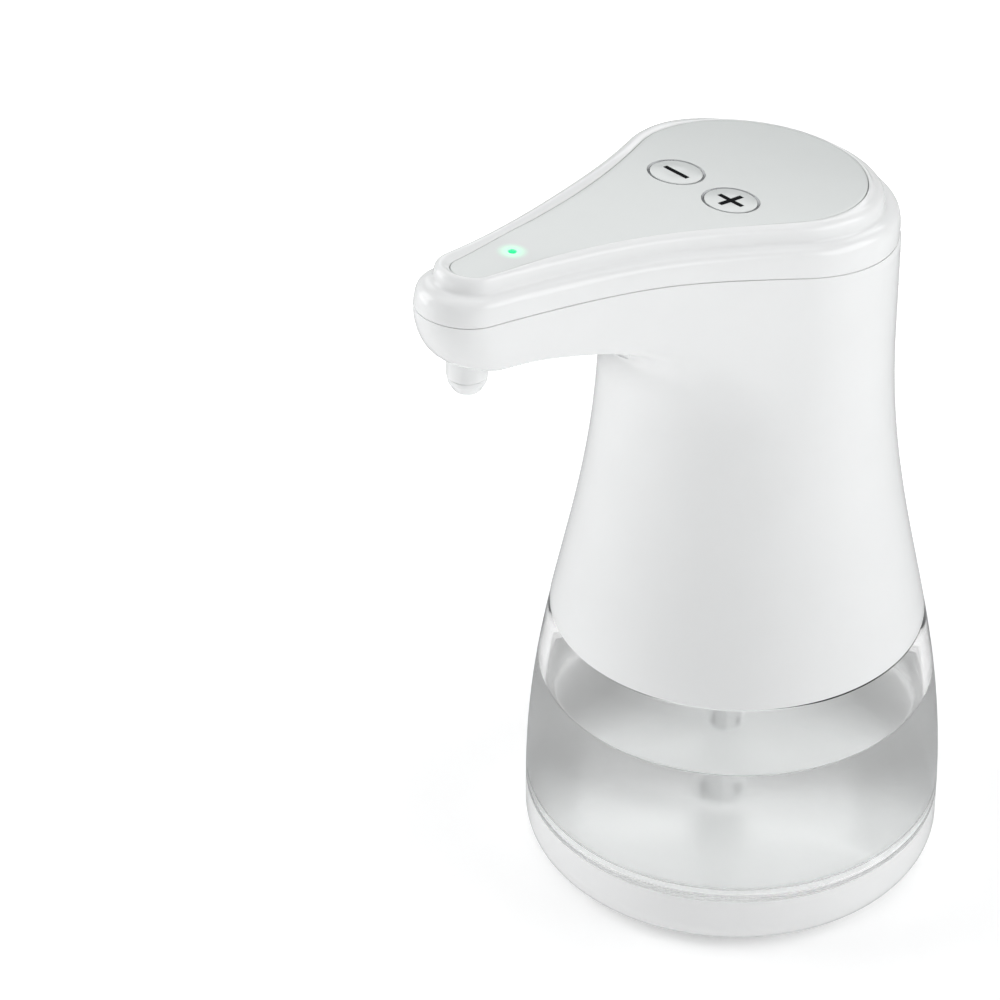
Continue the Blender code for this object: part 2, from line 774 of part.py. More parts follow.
def shell_rings():
    top = parting_ring()
    top_rear_z, top_front_z = top[0][2], top[HALF_POINTS][2]
    chin, arch = underside()
    places = [bezier(chin, i / CHIN_RINGS) for i in range(1, CHIN_RINGS + 1)]
    places += [bezier(arch, i / UNDERSIDE_RINGS) for i in range(1, UNDERSIDE_RINGS + 1)]
    raised = head_ring(COVER_OFFSET, PARTING_DEPTH + GAP - OVERRUN)
    rings = [[from_head(point) for point in raised], top]
    rings += [spout_ring(y, z, top_rear_z, top_front_z) for y, z in places]
    last = rings[-1]
    edge_z = TANK_TOP_Z + GAP - OVERRUN
    for i in range(1, NECK_RINGS + 1):
        z = mix(UNDERSIDE_FOOT_Z, edge_z, i / NECK_RINGS)
        scale = body_radius(z) / body_radius(UNDERSIDE_FOOT_Z)
        rings.append([(x * scale, y * scale, z) for x, y, _ in last])
    return rings


def underside_at(y):
    """Height and slope angle of the underside's outer face in the plane of symmetry."""
    chin, arch = underside()
    curve = chin if y < arch[0][0] else arch
    share = bisect(lambda s: bezier(curve, s)[0], y, 0, 1)
    step = LEAST_SHARE
    before, after = bezier(curve, share - step), bezier(curve, share + step)
    return bezier(curve, share)[1], math.atan2(after[1] - before[1], after[0] - before[0])


def ellipse(half_x, half_y):
    return [
        (half_x * math.cos(math.tau * i / PIECE_STEPS), half_y * math.sin(math.tau * i / PIECE_STEPS))
        for i in range(PIECE_STEPS)
    ]


def skin(name, thickness):
    """The shell's outer surface with a wall inside it."""
    made = place(name, loft_mesh(shell_rings(), "OPEN"), "white_gloss")
    wall = made.modifiers.new("wall", "SOLIDIFY")
    wall.thickness = thickness
    wall.offset = -1
    return made


def parting_block():
    """What lies over the parting surface, which arches as the cover does."""
    wide = 2 * TANK_RADIUS
    bm = bmesh.new()
    rows = []
    for i in range(BLOCK_STEPS + 1):
        y = mix(-wide, wide, i / BLOCK_STEPS)
        low = crown(y, COVER_OFFSET) - PARTING_DEPTH - GAP
        corners = ((-wide, low), (wide, low), (wide, low + COVER_OFFSET), (-wide, low + COVER_OFFSET))
        rows.append([bm.verts.new((x, y, z)) for x, z in corners])
    bm.faces.new(rows[0])
    bm.faces.new(rows[-1])
    for near, far in zip(rows, rows[1:]):
        for i in range(len(near)):
            j = (i + 1) % len(near)
            bm.faces.new((near[i], near[j], far[j], far[i]))
    return finish_mesh(bm, "block")


def main_shell(head, window_frame):
    """Teardrop sections with receding tips, down to the round neck: a hollow moulding open above and below."""
    shell = skin("main_shell", SHELL_WALL)
    reach = SHELL_WALL + WINDOW_THICKNESS
    cut(shell, prism_mesh(ellipse(WINDOW_HALF_WIDTH, WINDOW_HALF_HEIGHT), -reach, reach), frame=window_frame)
    cut(shell, parting_block(), frame=head)
    for side in (-1, 1):
        post = cylinder_mesh(SENSOR_POST_RADIUS, SHELL_WALL, SENSOR_BOARD_GAP - GAP, SMALL_STEPS)
        join(shell, post, (side * SENSOR_POST_X, 0, 0), window_frame)
    edge = TANK_TOP_Z + GAP
    cut(shell, cylinder_mesh(TANK_RADIUS, edge - 2 * SHELL_WALL, edge, BODY_STEPS))
    cut(shell, cylinder_mesh(NOZZLE_RADIUS + GAP, NOZZLE_BOTTOM_Z, NOZZLE_FLANGE_Z), (0, NOZZLE_Y, 0))
    foot = CHASSIS_Z + CHASSIS_THICKNESS + GAP
    reach = body_radius(foot + BOSS_HEIGHT) - SHELL_WALL / 2
    for x, y in screw_places():
        boss = cylinder_mesh(BOSS_RADIUS, foot, foot + BOSS_HEIGHT, SMALL_STEPS)
        join(shell, boss, (x, y, 0))
        out = math.hypot(x, y)
        web = box_mesh((out, -BOSS_WEB / 2, foot), (reach, BOSS_WEB / 2, foot + BOSS_HEIGHT - OVERRUN))
        join(shell, web).object.rotation_euler = (0, 0, math.atan2(y, x))
        bore = cylinder_mesh(SCREW_RADIUS + BEARING, foot - OVERRUN, foot + SCREW_LENGTH, SMALL_STEPS)
        cut(shell, bore, (x, y, 0))


def ir_window(window_frame):
    """The sensor's window, flush with the shell under the spout."""
    window = skin("ir_window", WINDOW_THICKNESS)
    window.data.materials[0] = material("smoked_window")
    reach = SHELL_WALL + WINDOW_THICKNESS
    outline = ellipse(WINDOW_HALF_WIDTH - SLIDING, WINDOW_HALF_HEIGHT - SLIDING)
    boolean(window, helper("keep ir_window", prism_mesh(outline, -reach, reach), frame=window_frame), "INTERSECT")


def sensor(window_frame):
    board = SENSOR_BOARD_GAP
    look = "board_green"
    low = (-SENSOR_BOARD_HALF_WIDTH, -SENSOR_BOARD_HALF_HEIGHT, board)
    high = (SENSOR_BOARD_HALF_WIDTH, SENSOR_BOARD_HALF_HEIGHT, board + SENSOR_BOARD_THICKNESS)
    place("sensor_board", box_mesh(low, high), look, frame=window_frame)
    for name, side in (("ir_emitter", -1), ("ir_receiver", 1)):
        eye = cylinder_mesh(EYE_RADIUS, board - GAP - EYE_HEIGHT, board - GAP, SMALL_STEPS)
        place(name, eye, "black_plastic", (side * EYE_SPREAD, 0, 0), window_frame)


def base_foot():
    low = PAD_PROUD
    centre = TANK_RADIUS - FOOT_EDGE_RADIUS
    edge = arc(centre, low + FOOT_EDGE_RADIUS, FOOT_EDGE_RADIUS, 0, -math.pi / 2, 2 * EDGE_STEPS)
    floor = PAD_THICKNESS + GAP + FOOT_FLOOR
    inner = TANK_RADIUS - FOOT_WALL
    profile = [(0, floor), (inner - FOOT_EDGE_RADIUS / 2, floor), (inner, floor + FOOT_EDGE_RADIUS / 2)]
    profile += [(inner, FOOT_HEIGHT), (TANK_RADIUS, FOOT_HEIGHT)] + edge
    recess = PAD_THICKNESS + GAP
    profile += [(PAD_RADIUS + GAP, low), (PAD_RADIUS + GAP, recess), (0, recess)]
    turned("base_foot", profile, "white_gloss", BODY_STEPS)


def anti_slip_pad():
    profile = [(0, PAD_THICKNESS), (PAD_RADIUS, PAD_THICKNESS), (PAD_RADIUS, 0), (0, 0)]
    turned("anti_slip_pad", profile, "rubber_grey", BODY_STEPS)


def soap_tank():
    """The clear tank: open at its collar, which carries the three bayonet lugs."""
    low = FOOT_HEIGHT + GAP
    floor = low + TANK_FLOOR
    collar_top = TANK_TOP_Z + COLLAR_HEIGHT
    collar = MOUTH_RADIUS + COLLAR_WALL
    heights = [mix(TANK_TOP_Z, low, i / FLANK_RINGS) for i in range(FLANK_RINGS + 1)]
    outer = [(body_radius(z), z) for z in heights]
    inner_heights = [mix(floor + TANK_CORNER, TANK_TOP_Z - TANK_WALL, i / FLANK_RINGS) for i in range(FLANK_RINGS + 1)]
    inner = [(body_radius(z) - TANK_WALL, z) for z in inner_heights]
    corner = arc(inner[0][0] - TANK_CORNER, floor + TANK_CORNER, TANK_CORNER, -math.pi / 2, 0, EDGE_STEPS)
    spigot = TANK_RADIUS - FOOT_WALL - GAP
    profile = [(0, floor)] + corner + inner[1:]
    profile += [(MOUTH_RADIUS, TANK_TOP_Z - TANK_WALL), (MOUTH_RADIUS, collar_top), (collar, collar_top)]
    profile += [(collar, TANK_TOP_Z)] + outer
    profile += [(spigot, low), (spigot, low - FOOT_SPIGOT), (spigot - TANK_WALL, low - FOOT_SPIGOT)]
    profile += [(spigot - TANK_WALL, low), (0, low)]
    tank = turned("soap_tank", profile, "clear_plastic", BODY_STEPS)
    for i in range(LUG_COUNT):
        lug = sector_mesh(
            collar - COLLAR_WALL / 2, collar + LUG_DEPTH, LUG_Z, LUG_Z + LUG_HEIGHT, lug_angle(i), LUG_DEG
        )
        join(tank, lug)


def lug_angle(i):
    return LUG_START_DEG + 360 * i / LUG_COUNT


def ring_profile(inner, outer, low, high):
    return [(inner, high), (outer, high), (outer, low), (inner, low)]


def tank_seal():
    low = TANK_TOP_Z + COLLAR_HEIGHT + GAP
    outer = MOUTH_RADIUS + COLLAR_WALL - SEAL_INSET
    turned("tank_seal", ring_profile(MOUTH_RADIUS + SEAL_INSET, outer, low, low + SEAL_THICKNESS), "silicone", BODY_STEPS)


def chassis():
    """The plate that carries the works, with the skirt and ledges that the tank's lugs lock on."""
    top = CHASSIS_Z + CHASSIS_THICKNESS
    ledge_top = LUG_Z - GAP
    ledge_low = ledge_top - LEDGE_HEIGHT
    inner = SKIRT_RADIUS - SKIRT_WALL
    profile = [(0, top), (SKIRT_RADIUS, top), (SKIRT_RADIUS, ledge_low), (inner, ledge_low)]
    profile += [(inner, CHASSIS_Z), (0, CHASSIS_Z)]
    plate = turned("chassis", profile, "inner_plastic", BODY_STEPS)
    reach = MOUTH_RADIUS + COLLAR_WALL + 3 * GAP
    for i in range(LUG_COUNT):
        ledge = sector_mesh(reach, inner + SKIRT_WALL / 2, ledge_low, ledge_top, lug_angle(i), LUG_DEG)
        join(plate, ledge)
        near = lug_angle(i) + LUG_DEG / 2 + STOP_GAP_DEG + STOP_DEG / 2
        far = lug_angle(i) - LUG_DEG / 2 - TWIST_DEG - STOP_GAP_DEG - STOP_DEG / 2
        for angle in (near, far):
            stop = sector_mesh(reach, inner + SKIRT_WALL / 2, ledge_low, ledge_top + LUG_HEIGHT, angle, STOP_DEG, 1)
            join(plate, stop)
    low, high = CHASSIS_Z - OVERRUN, top + OVERRUN
    cut(plate, prism_mesh(bay_outline(0), low, high))
    cut(plate, cylinder_mesh(SPIGOT_RADIUS + GAP, low, high, SMALL_STEPS), (0, INLET_Y, 0))
    for x, y in screw_places():
        cut(plate, cylinder_mesh(SCREW_RADIUS + GAP, low, high, SMALL_STEPS), (x, y, 0))


def screw_places():
    turns = [math.radians(angle) for angle in SCREW_ANGLES_DEG]
    return [(SCREW_CIRCLE * math.cos(turn), SCREW_CIRCLE * math.sin(turn)) for turn in turns]


def chassis_screws():
    top = CHASSIS_Z - GAP
    low = top - SCREW_HEAD_HEIGHT
    tip = top + CHASSIS_THICKNESS + SCREW_LENGTH - OVERRUN
    for i, (x, y) in enumerate(screw_places()):
        profile = [(0, tip), (SCREW_RADIUS / 2, tip), (SCREW_RADIUS, tip - SCREW_RADIUS), (SCREW_RADIUS, top)]
        profile += [(SCREW_HEAD_RADIUS, top), (SCREW_HEAD_RADIUS, low), (0, low)]
        screw = turned(f"chassis_screw_{i + 1}", profile, "steel", SMALL_STEPS, (x, y, 0))
        cut(screw, cylinder_mesh(SCREW_SOCKET_RADIUS, low - OVERRUN, low + SCREW_SOCKET_DEPTH, 6), (x, y, 0))


def bay_outline(margin):
    """The battery bay's outline, which is square round four cells."""
    half = BAY_HALF + margin
    return rounded_rectangle(half, BAY_Y - half, BAY_Y + half, BAY_CORNER)


def door_top():
    return CHASSIS_Z - 2 * GAP - DOOR_SEAL_THICKNESS


def cell_bottom():
    return door_top() + 2 * GAP + CONTACT_THICKNESS + CONTACT_DOME_HEIGHT


def battery_case():
    low = CHASSIS_Z + CHASSIS_THICKNESS + GAP
    ceiling = cell_bottom() + CELL_LENGTH + 2 * GAP + CONTACT_THICKNESS + CONTACT_DOME_HEIGHT
    case = place("battery_case", prism_mesh(bay_outline(BAY_WALL), low, ceiling + BAY_WALL), "inner_plastic")
    cut(case, prism_mesh(bay_outline(0), low - OVERRUN, ceiling))


def battery_cells():
    low = cell_bottom()
    body = CELL_LENGTH - CELL_NUB_HEIGHT
    for i, (side_x, side_y) in enumerate(((-1, 1), (-1, -1), (1, -1), (1, 1))):
        nub_up = i % 2 == 0
        points = [(0, CELL_LENGTH), (CELL_NUB_RADIUS, CELL_LENGTH), (CELL_NUB_RADIUS, body)]
        points += [(CELL_RADIUS, body), (CELL_RADIUS, 0), (0, 0)]
        if not nub_up:
            points = [(radius, CELL_LENGTH - z) for radius, z in points[::-1]]
        at = (side_x * CELL_PITCH / 2, BAY_Y + side_y * CELL_PITCH / 2, low)
        turned(f"battery_cell_{i + 1}", points, "cell_wrap", PIECE_STEPS, at)


def contact(name, places, plate_z, points_up):
    """A sheet contact: a plate with a sprung dome towards each cell that it touches."""
    half = CONTACT_WIDTH / 2
    xs = [x for x, _ in places]
    ys = [y for _, y in places]
    low = (min(xs) - half, min(ys) - half, plate_z)
    high = (max(xs) + half, max(ys) + half, plate_z + CONTACT_THICKNESS)
    plate = place(name, box_mesh(low, high), "contact_metal")
    for x, y in places:
        if points_up:
            base, tip = plate_z + CONTACT_THICKNESS / 2, plate_z + CONTACT_THICKNESS + CONTACT_DOME_HEIGHT
            dome = cylinder_mesh(CONTACT_DOME_RADIUS, base, tip, SMALL_STEPS, CONTACT_TIP_RADIUS)
        else:
            base, tip = plate_z - CONTACT_DOME_HEIGHT, plate_z + CONTACT_THICKNESS / 2
            dome = cylinder_mesh(CONTACT_TIP_RADIUS, base, tip, SMALL_STEPS, CONTACT_DOME_RADIUS)
        join(plate, dome, (x, y, 0))


def contacts():
    near, far = BAY_Y - CELL_PITCH / 2, BAY_Y + CELL_PITCH / 2
    left, right = -CELL_PITCH / 2, CELL_PITCH / 2
    high = cell_bottom() + CELL_LENGTH + GAP + CONTACT_DOME_HEIGHT
    low = door_top() + GAP
    contact("contact_positive", [(left, far)], high, False)
    contact("contact_negative", [(right, far)], high, False)
    contact("contact_bridge_top", [(left, near), (right, near)], high, False)
    contact("contact_bridge_door_1", [(left, near), (left, far)], low, True)
    contact("contact_bridge_door_2", [(right, near), (right, far)], low, True)


def battery_door():
    top = door_top()
    low = top - DOOR_THICKNESS
    door = place("battery_door", prism_mesh(bay_outline(DOOR_MARGIN), low, top), "inner_plastic")
    half_x, half_y = DOOR_GRIP_LENGTH / 2, DOOR_GRIP_WIDTH / 2
    grip = box_mesh(
        (-half_x, BAY_Y - half_y, low - DOOR_GRIP_HEIGHT), (half_x, BAY_Y + half_y, low + DOOR_THICKNESS / 2)
    )
    join(door, grip)


def flat_ring(outer, inner, low, high):
    rings = []
    for outline, z in ((outer, high), (outer, low), (inner, low), (inner, high)):
        rings.append([(x, y, z) for x, y in outline])
    return loft_mesh(rings, "RING")


def battery_door_seal():
    low = door_top() + GAP
    inner = bay_outline(SLIDING)
    outer = bay_outline(SLIDING + DOOR_SEAL_WIDTH)
    place("battery_door_seal", flat_ring(outer, inner, low, low + DOOR_SEAL_THICKNESS), "silicone")


def gear_outline(teeth, module, flank_steps, turn=0.0):
    """Involute teeth, thinned for backlash, counter-clockwise. At a turn of 0 a tooth points along +X."""
    pitch = module * teeth / 2
    base = pitch * math.cos(PRESSURE_ANGLE)
    tip = pitch + module * ADDENDUM_SHARE
    root = pitch - module * DEDENDUM_SHARE
    start = max(base, root)
    half_pitch = math.pi / 2 / teeth - BACKLASH / pitch

    def spread(radius):
        """Half the tooth's angle at a radius."""
        tangent = math.sqrt(max((radius / base) ** 2 - 1, 0))
        rolled = tangent - math.atan(tangent)
        return half_pitch + math.tan(PRESSURE_ANGLE) - PRESSURE_ANGLE - rolled

    radii = [mix(start, tip, i / flank_steps) for i in range(flank_steps + 1)]
    points = []
    for k in range(teeth):
        middle = turn + math.tau * k / teeth
        flank_points = [(radius, spread(radius)) for radius in radii]
        if root < base * LEAST_UNDERCUT_SHARE:
            flank_points.insert(0, (root, spread(start)))
        points += [(radius, middle - angle) for radius, angle in flank_points]
        points += [(radius, middle + angle) for radius, angle in flank_points[::-1]]
    return [(radius * math.cos(angle), radius * math.sin(angle)) for radius, angle in points]


def pump_levels():
    """Heights in the pump: housing foot, chamber floor, chamber top, cover foot and cover top."""
    foot = CHASSIS_Z + CHASSIS_THICKNESS + GAP
    floor = foot + PUMP_FLOOR
    rim = floor + PUMP_GEAR_LENGTH + 2 * GAP
    cover = rim + GAP
    return foot, floor, rim, cover, cover + PUMP_COVER_THICKNESS


def pump_outline():
    return rounded_rectangle(PUMP_HALF + PUMP_REACH, PUMP_Y - PUMP_REACH, PUMP_Y + PUMP_REACH, PUMP_CORNER)


def bored(target, radius, start, end, at=(0, 0, 0)):
    """A bore along X, Y or Z between two points."""
    run = Vector(end) - Vector(start)
    drill = cylinder_mesh(radius, 0, run.length, SMALL_STEPS)
    cutter = cut(target, drill, Vector(at) + Vector(start)).object
    cutter.rotation_euler = run.to_track_quat("Z", "Y").to_euler()


def pump_housing():
    """The gear pump's body, with its inlet spigot down through the chassis and ports to both sides of the gears."""
    foot, floor, rim, _, _ = pump_levels()
    housing = place("pump_housing", prism_mesh(pump_outline(), foot, rim), "pump_plastic")
    arm = ARM_HALF_WIDTH
    rear = box_mesh((-arm, PUMP_Y, foot), (arm, INLET_Y + arm, rim - PUMP_FLOOR))
    join(housing, rear)
    front = box_mesh((OUTLET_X - arm, OUTLET_Y - arm, foot), (OUTLET_X + arm, PUMP_Y, rim))
    join(housing, front)
    spigot = cylinder_mesh(SPIGOT_RADIUS, foot - INLET_SPIGOT_LENGTH, foot + OVERRUN, SMALL_STEPS)
    join(housing, spigot, (0, INLET_Y, 0))
    chamber = PUMP_REACH - PUMP_WALL
    bore = PUMP_SHAFT_RADIUS + BEARING
    for side in (-1, 1):
        cut(housing, cylinder_mesh(chamber, floor, rim + OVERRUN), (side * PUMP_HALF, PUMP_Y, 0))
        hole = cylinder_mesh(bore, floor - SHAFT_HOLE_DEPTH, floor + OVERRUN)
        cut(housing, hole, (side * PUMP_HALF, PUMP_Y, 0))
    port = floor + PORT_RADIUS + OVERRUN
    bored(housing, PORT_RADIUS, (0, INLET_Y, foot - INLET_SPIGOT_LENGTH - OVERRUN), (0, INLET_Y, port))
    bored(housing, PORT_RADIUS, (0, INLET_Y, port), (0, PUMP_Y + OVERRUN, port))
    bored(housing, PORT_RADIUS, (OUTLET_X, PUMP_Y - OVERRUN, port), (OUTLET_X, OUTLET_Y, port))
    bored(housing, PORT_RADIUS, (OUTLET_X, OUTLET_Y, port), (OUTLET_X, OUTLET_Y, rim + OVERRUN))


def pump_cover():
    _, _, _, low, top = pump_levels()
    cover = place("pump_cover", prism_mesh(pump_outline(), low, top), "pump_plastic")
    arm = ARM_HALF_WIDTH
    front = box_mesh((OUTLET_X - arm, OUTLET_Y - arm, low), (OUTLET_X + arm, PUMP_Y, top))
    join(cover, front)
    spigot = cylinder_mesh(SPIGOT_RADIUS, low + OVERRUN, top + OUTLET_SPIGOT_LENGTH, SMALL_STEPS)
    join(cover, spigot, (OUTLET_X, OUTLET_Y, 0))
    end = top + OUTLET_SPIGOT_LENGTH + OVERRUN
    bored(cover, PORT_RADIUS, (OUTLET_X, OUTLET_Y, low - OVERRUN), (OUTLET_X, OUTLET_Y, end))
    bore = PUMP_SHAFT_RADIUS + BEARING
    cut(cover, cylinder_mesh(bore, low - OVERRUN, top + OVERRUN), (PUMP_HALF, PUMP_Y, 0))
    cut(cover, cylinder_mesh(bore, low - OVERRUN, low + SHAFT_HOLE_DEPTH), (-PUMP_HALF, PUMP_Y, 0))


def drive_levels():
    """Heights of the drive gear's foot and top, and of the motor bracket's foot and top."""
    foot = pump_levels()[4] + DRIVE_GEAR_GAP
    top = foot + DRIVE_GEAR_WIDTH
    bracket = top + DRIVE_HUB_HEIGHT + BRACKET_GAP
    return foot, top, bracket, bracket + BRACKET_THICKNESS


def pump_gears():
    """The two rotors. The driver is on the shaft; the idler turns on its own journals."""
    _, floor, rim, _, _ = pump_levels()
    _, gear_top, _, _ = drive_levels()
    low, high = floor + GAP, rim - GAP
    foot = floor - SHAFT_HOLE_DEPTH + GAP
    at = (PUMP_HALF, PUMP_Y, 0)
    head = gear_top + DRIVE_HUB_HEIGHT + SHAFT_STANDS_OUT
    place("pump_shaft", cylinder_mesh(PUMP_SHAFT_RADIUS, foot, head, SMALL_STEPS), "steel", at)
    outline = gear_outline(PUMP_TEETH, PUMP_MODULE, PUMP_FLANK_STEPS)
    driver = place("pump_driver_gear", prism_mesh(outline, low, high), "gear_plastic", at)
    bore = PUMP_SHAFT_RADIUS + BEARING
    cut(driver, cylinder_mesh(bore, low - OVERRUN, high + OVERRUN, SMALL_STEPS), at)
    at = (-PUMP_HALF, PUMP_Y, 0)
    outline = gear_outline(PUMP_TEETH, PUMP_MODULE, PUMP_FLANK_STEPS, math.pi / PUMP_TEETH)
    idler = place("pump_idler_gear", prism_mesh(outline, low, high), "gear_plastic", at)
    join(idler, cylinder_mesh(PUMP_SHAFT_RADIUS, foot, rim + SHAFT_HOLE_DEPTH, SMALL_STEPS), at)


def motor_x():
    return PUMP_HALF - DRIVE_MODULE * (DRIVE_TEETH + PINION_TEETH) / 2 - BEARING / 2


def drive_train():
    """The drive gear on the pump's shaft and the motor's pinion, in mesh."""
    foot, top, _, _ = drive_levels()
    at = (PUMP_HALF, PUMP_Y, 0)
    outline = gear_outline(DRIVE_TEETH, DRIVE_MODULE, DRIVE_FLANK_STEPS)
    gear = place("drive_gear", prism_mesh(outline, foot, top), "gear_plastic", at)
    join(gear, cylinder_mesh(DRIVE_HUB_RADIUS, foot - DRIVE_HUB_HEIGHT, top + DRIVE_HUB_HEIGHT), at)
    bore = PUMP_SHAFT_RADIUS + BEARING
    cut(gear, cylinder_mesh(bore, foot - OVERRUN, top + OVERRUN, SMALL_STEPS), at)
    at = (motor_x(), PUMP_Y, 0)
    low, high = foot - PINION_OVERLAP, top + PINION_OVERLAP
    outline = gear_outline(PINION_TEETH, DRIVE_MODULE, DRIVE_FLANK_STEPS, math.pi / PINION_TEETH)
    pinion = place("motor_pinion", prism_mesh(outline, low, high), "gear_plastic", at)
    bore = MOTOR_SHAFT_RADIUS + BEARING
    cut(pinion, cylinder_mesh(bore, low - OVERRUN, high + OVERRUN, SMALL_STEPS), at)


def motor_bracket():
    _, _, low, top = drive_levels()
    foot = CHASSIS_Z + CHASSIS_THICKNESS + GAP
    outline = rounded_rectangle(BRACKET_HALF_WIDTH, BRACKET_FRONT_Y, BRACKET_REAR_Y, BRACKET_CORNER)
    bracket = place("motor_bracket", prism_mesh(outline, low, top), "inner_plastic")
    for x, y in POST_PLACES:
        join(bracket, cylinder_mesh(POST_RADIUS, foot, low + BRACKET_THICKNESS / 2, SMALL_STEPS), (x, y, 0))
    hole = cylinder_mesh(MOTOR_BOSS_RADIUS + GAP, low - OVERRUN, top + OVERRUN, PIECE_STEPS)
    cut(bracket, hole, (motor_x(), PUMP_Y, 0))


def motor():
    """A small direct-current motor: flat-sided can, end cap with two terminals, and shaft."""
    foot, _, bracket, seat = drive_levels()
    low = seat + GAP
    top = low + MOTOR_LENGTH
    reach = math.asin(MOTOR_FLAT / MOTOR_RADIUS)
    right = arc(0, 0, MOTOR_RADIUS, -reach, reach, EDGE_STEPS * 2)
    outline = right + [(-x, -y) for x, y in right]
    at = (motor_x(), PUMP_Y, 0)
    can = place("motor_can", prism_mesh(outline, low, top), "steel", at)
    join(can, cylinder_mesh(MOTOR_BOSS_RADIUS, low - MOTOR_BOSS_HEIGHT, low + OVERRUN, PIECE_STEPS), at)
    hole = cylinder_mesh(MOTOR_SHAFT_RADIUS + SLIDING, low - 2 * OVERRUN, low + MOTOR_SHAFT_DEPTH + GAP, SMALL_STEPS)
    cut(can, hole, at)
    shaft = cylinder_mesh(MOTOR_SHAFT_RADIUS, foot - PINION_OVERLAP, low + MOTOR_SHAFT_DEPTH, SMALL_STEPS)
    place("motor_shaft", shaft, "steel", at)
    cap_low = top + GAP
    cap = place("motor_end_cap", prism_mesh(outline, cap_low, cap_low + END_CAP_THICKNESS), "black_plastic", at)
    half_x, half_y = TERMINAL_WIDTH / 2, TERMINAL_THICKNESS / 2
    for side in (-1, 1):
        tab = box_mesh(
            (side * TERMINAL_SPREAD - half_x, -half_y, cap_low + END_CAP_THICKNESS / 2),
            (side * TERMINAL_SPREAD + half_x, half_y, cap_low + END_CAP_THICKNESS + TERMINAL_HEIGHT),
        )
        join(cap, tab, at)


def suction():
    """The tube that hangs into the tank from the pump's spigot, and the strainer on its foot."""
    floor = FOOT_HEIGHT + GAP + TANK_FLOOR
    low = floor + TUBE_FOOT_GAP
    top = CHASSIS_Z - GAP
    at = (0, INLET_Y, 0)
    bore = TUBE_RADIUS - TUBE_WALL
    turned("suction_tube", ring_profile(bore, TUBE_RADIUS, low, top), "pump_plastic", SMALL_STEPS, at)
    foot = floor + STRAINER_FOOT_GAP
    head = foot + STRAINER_HEIGHT
    grip = TUBE_RADIUS + BEARING
    inner = STRAINER_RADIUS - STRAINER_WALL
    profile = [(0, foot + STRAINER_WALL), (inner, foot + STRAINER_WALL), (inner, head - STRAINER_WALL)]
    profile += [(grip, head - STRAINER_WALL), (grip, head), (STRAINER_RADIUS, head)]
    profile += [(STRAINER_RADIUS, foot), (0, foot)]
    strainer = turned("inlet_strainer", profile, "pump_plastic", SMALL_STEPS, at)
    half = STRAINER_SLOT_WIDTH / 2
    low = foot + 2 * STRAINER_WALL
    reach = STRAINER_RADIUS + OVERRUN
    cut(strainer, box_mesh((-half, -reach, low), (half, reach, low + STRAINER_SLOT_HEIGHT)), at)
    cut(strainer, box_mesh((-reach, -half, low), (reach, half, low + STRAINER_SLOT_HEIGHT)), at)


def hose_path():
    """Up from the pump, over into the spout and on to the nozzle's barb."""
    start = pump_levels()[4] + GAP
    end_y = NOZZLE_Y + NOZZLE_FLANGE_RADIUS + GAP
    rise = (
        (OUTLET_X, OUTLET_Y, HOSE_BEND_Z),
        (OUTLET_X, OUTLET_Y, HOSE_BEND_Z + HOSE_BEND),
        (OUTLET_X / 2, HOSE_CREST_Y, NOZZLE_ELBOW_Z),
        (0, end_y + NOZZLE_BARB_LENGTH, NOZZLE_ELBOW_Z),
    )
    points = [(OUTLET_X, OUTLET_Y, start), (OUTLET_X, OUTLET_Y, mix(start, HOSE_BEND_Z, 1 / 2))]
    points += [bezier(rise, i / HOSE_STEPS) for i in range(HOSE_STEPS + 1)]
    return points + [(0, end_y, NOZZLE_ELBOW_Z)]


def tube_mesh(points, radius):
    """A round tube along points, from a bevelled curve."""
    curve = bpy.data.curves.new("tube", "CURVE")
    curve.dimensions = "3D"
    curve.bevel_depth = radius
    curve.bevel_resolution = 2
    curve.use_fill_caps = True
    spline = curve.splines.new("POLY")
    spline.points.add(len(points) - 1)
    for slot, point in zip(spline.points, points):
        slot.co = (*point, 1)
    guide = bpy.data.objects.new("tube", curve)
    bpy.data.collections[CUTTER_COLLECTION_NAME].objects.link(guide)
    mesh = bpy.data.meshes.new_from_object(guide)
    bpy.data.objects.remove(guide)
    bm = bmesh.new()
    bm.from_mesh(mesh)
    bmesh.ops.remove_doubles(bm, verts=bm.verts[:], dist=MERGE)
    return finish_mesh(bm, "tube")


def outlet_hose():
    path = [Vector(point) for point in hose_path()]
    hose = place("outlet_hose", tube_mesh(path, HOSE_RADIUS), "silicone")
    start, end = path[1] - path[0], path[-1] - path[-2]
    start.length = end.length = OVERRUN
    cut(hose, tube_mesh([path[0] - start] + path[1:-1] + [path[-1] + end], HOSE_BORE))


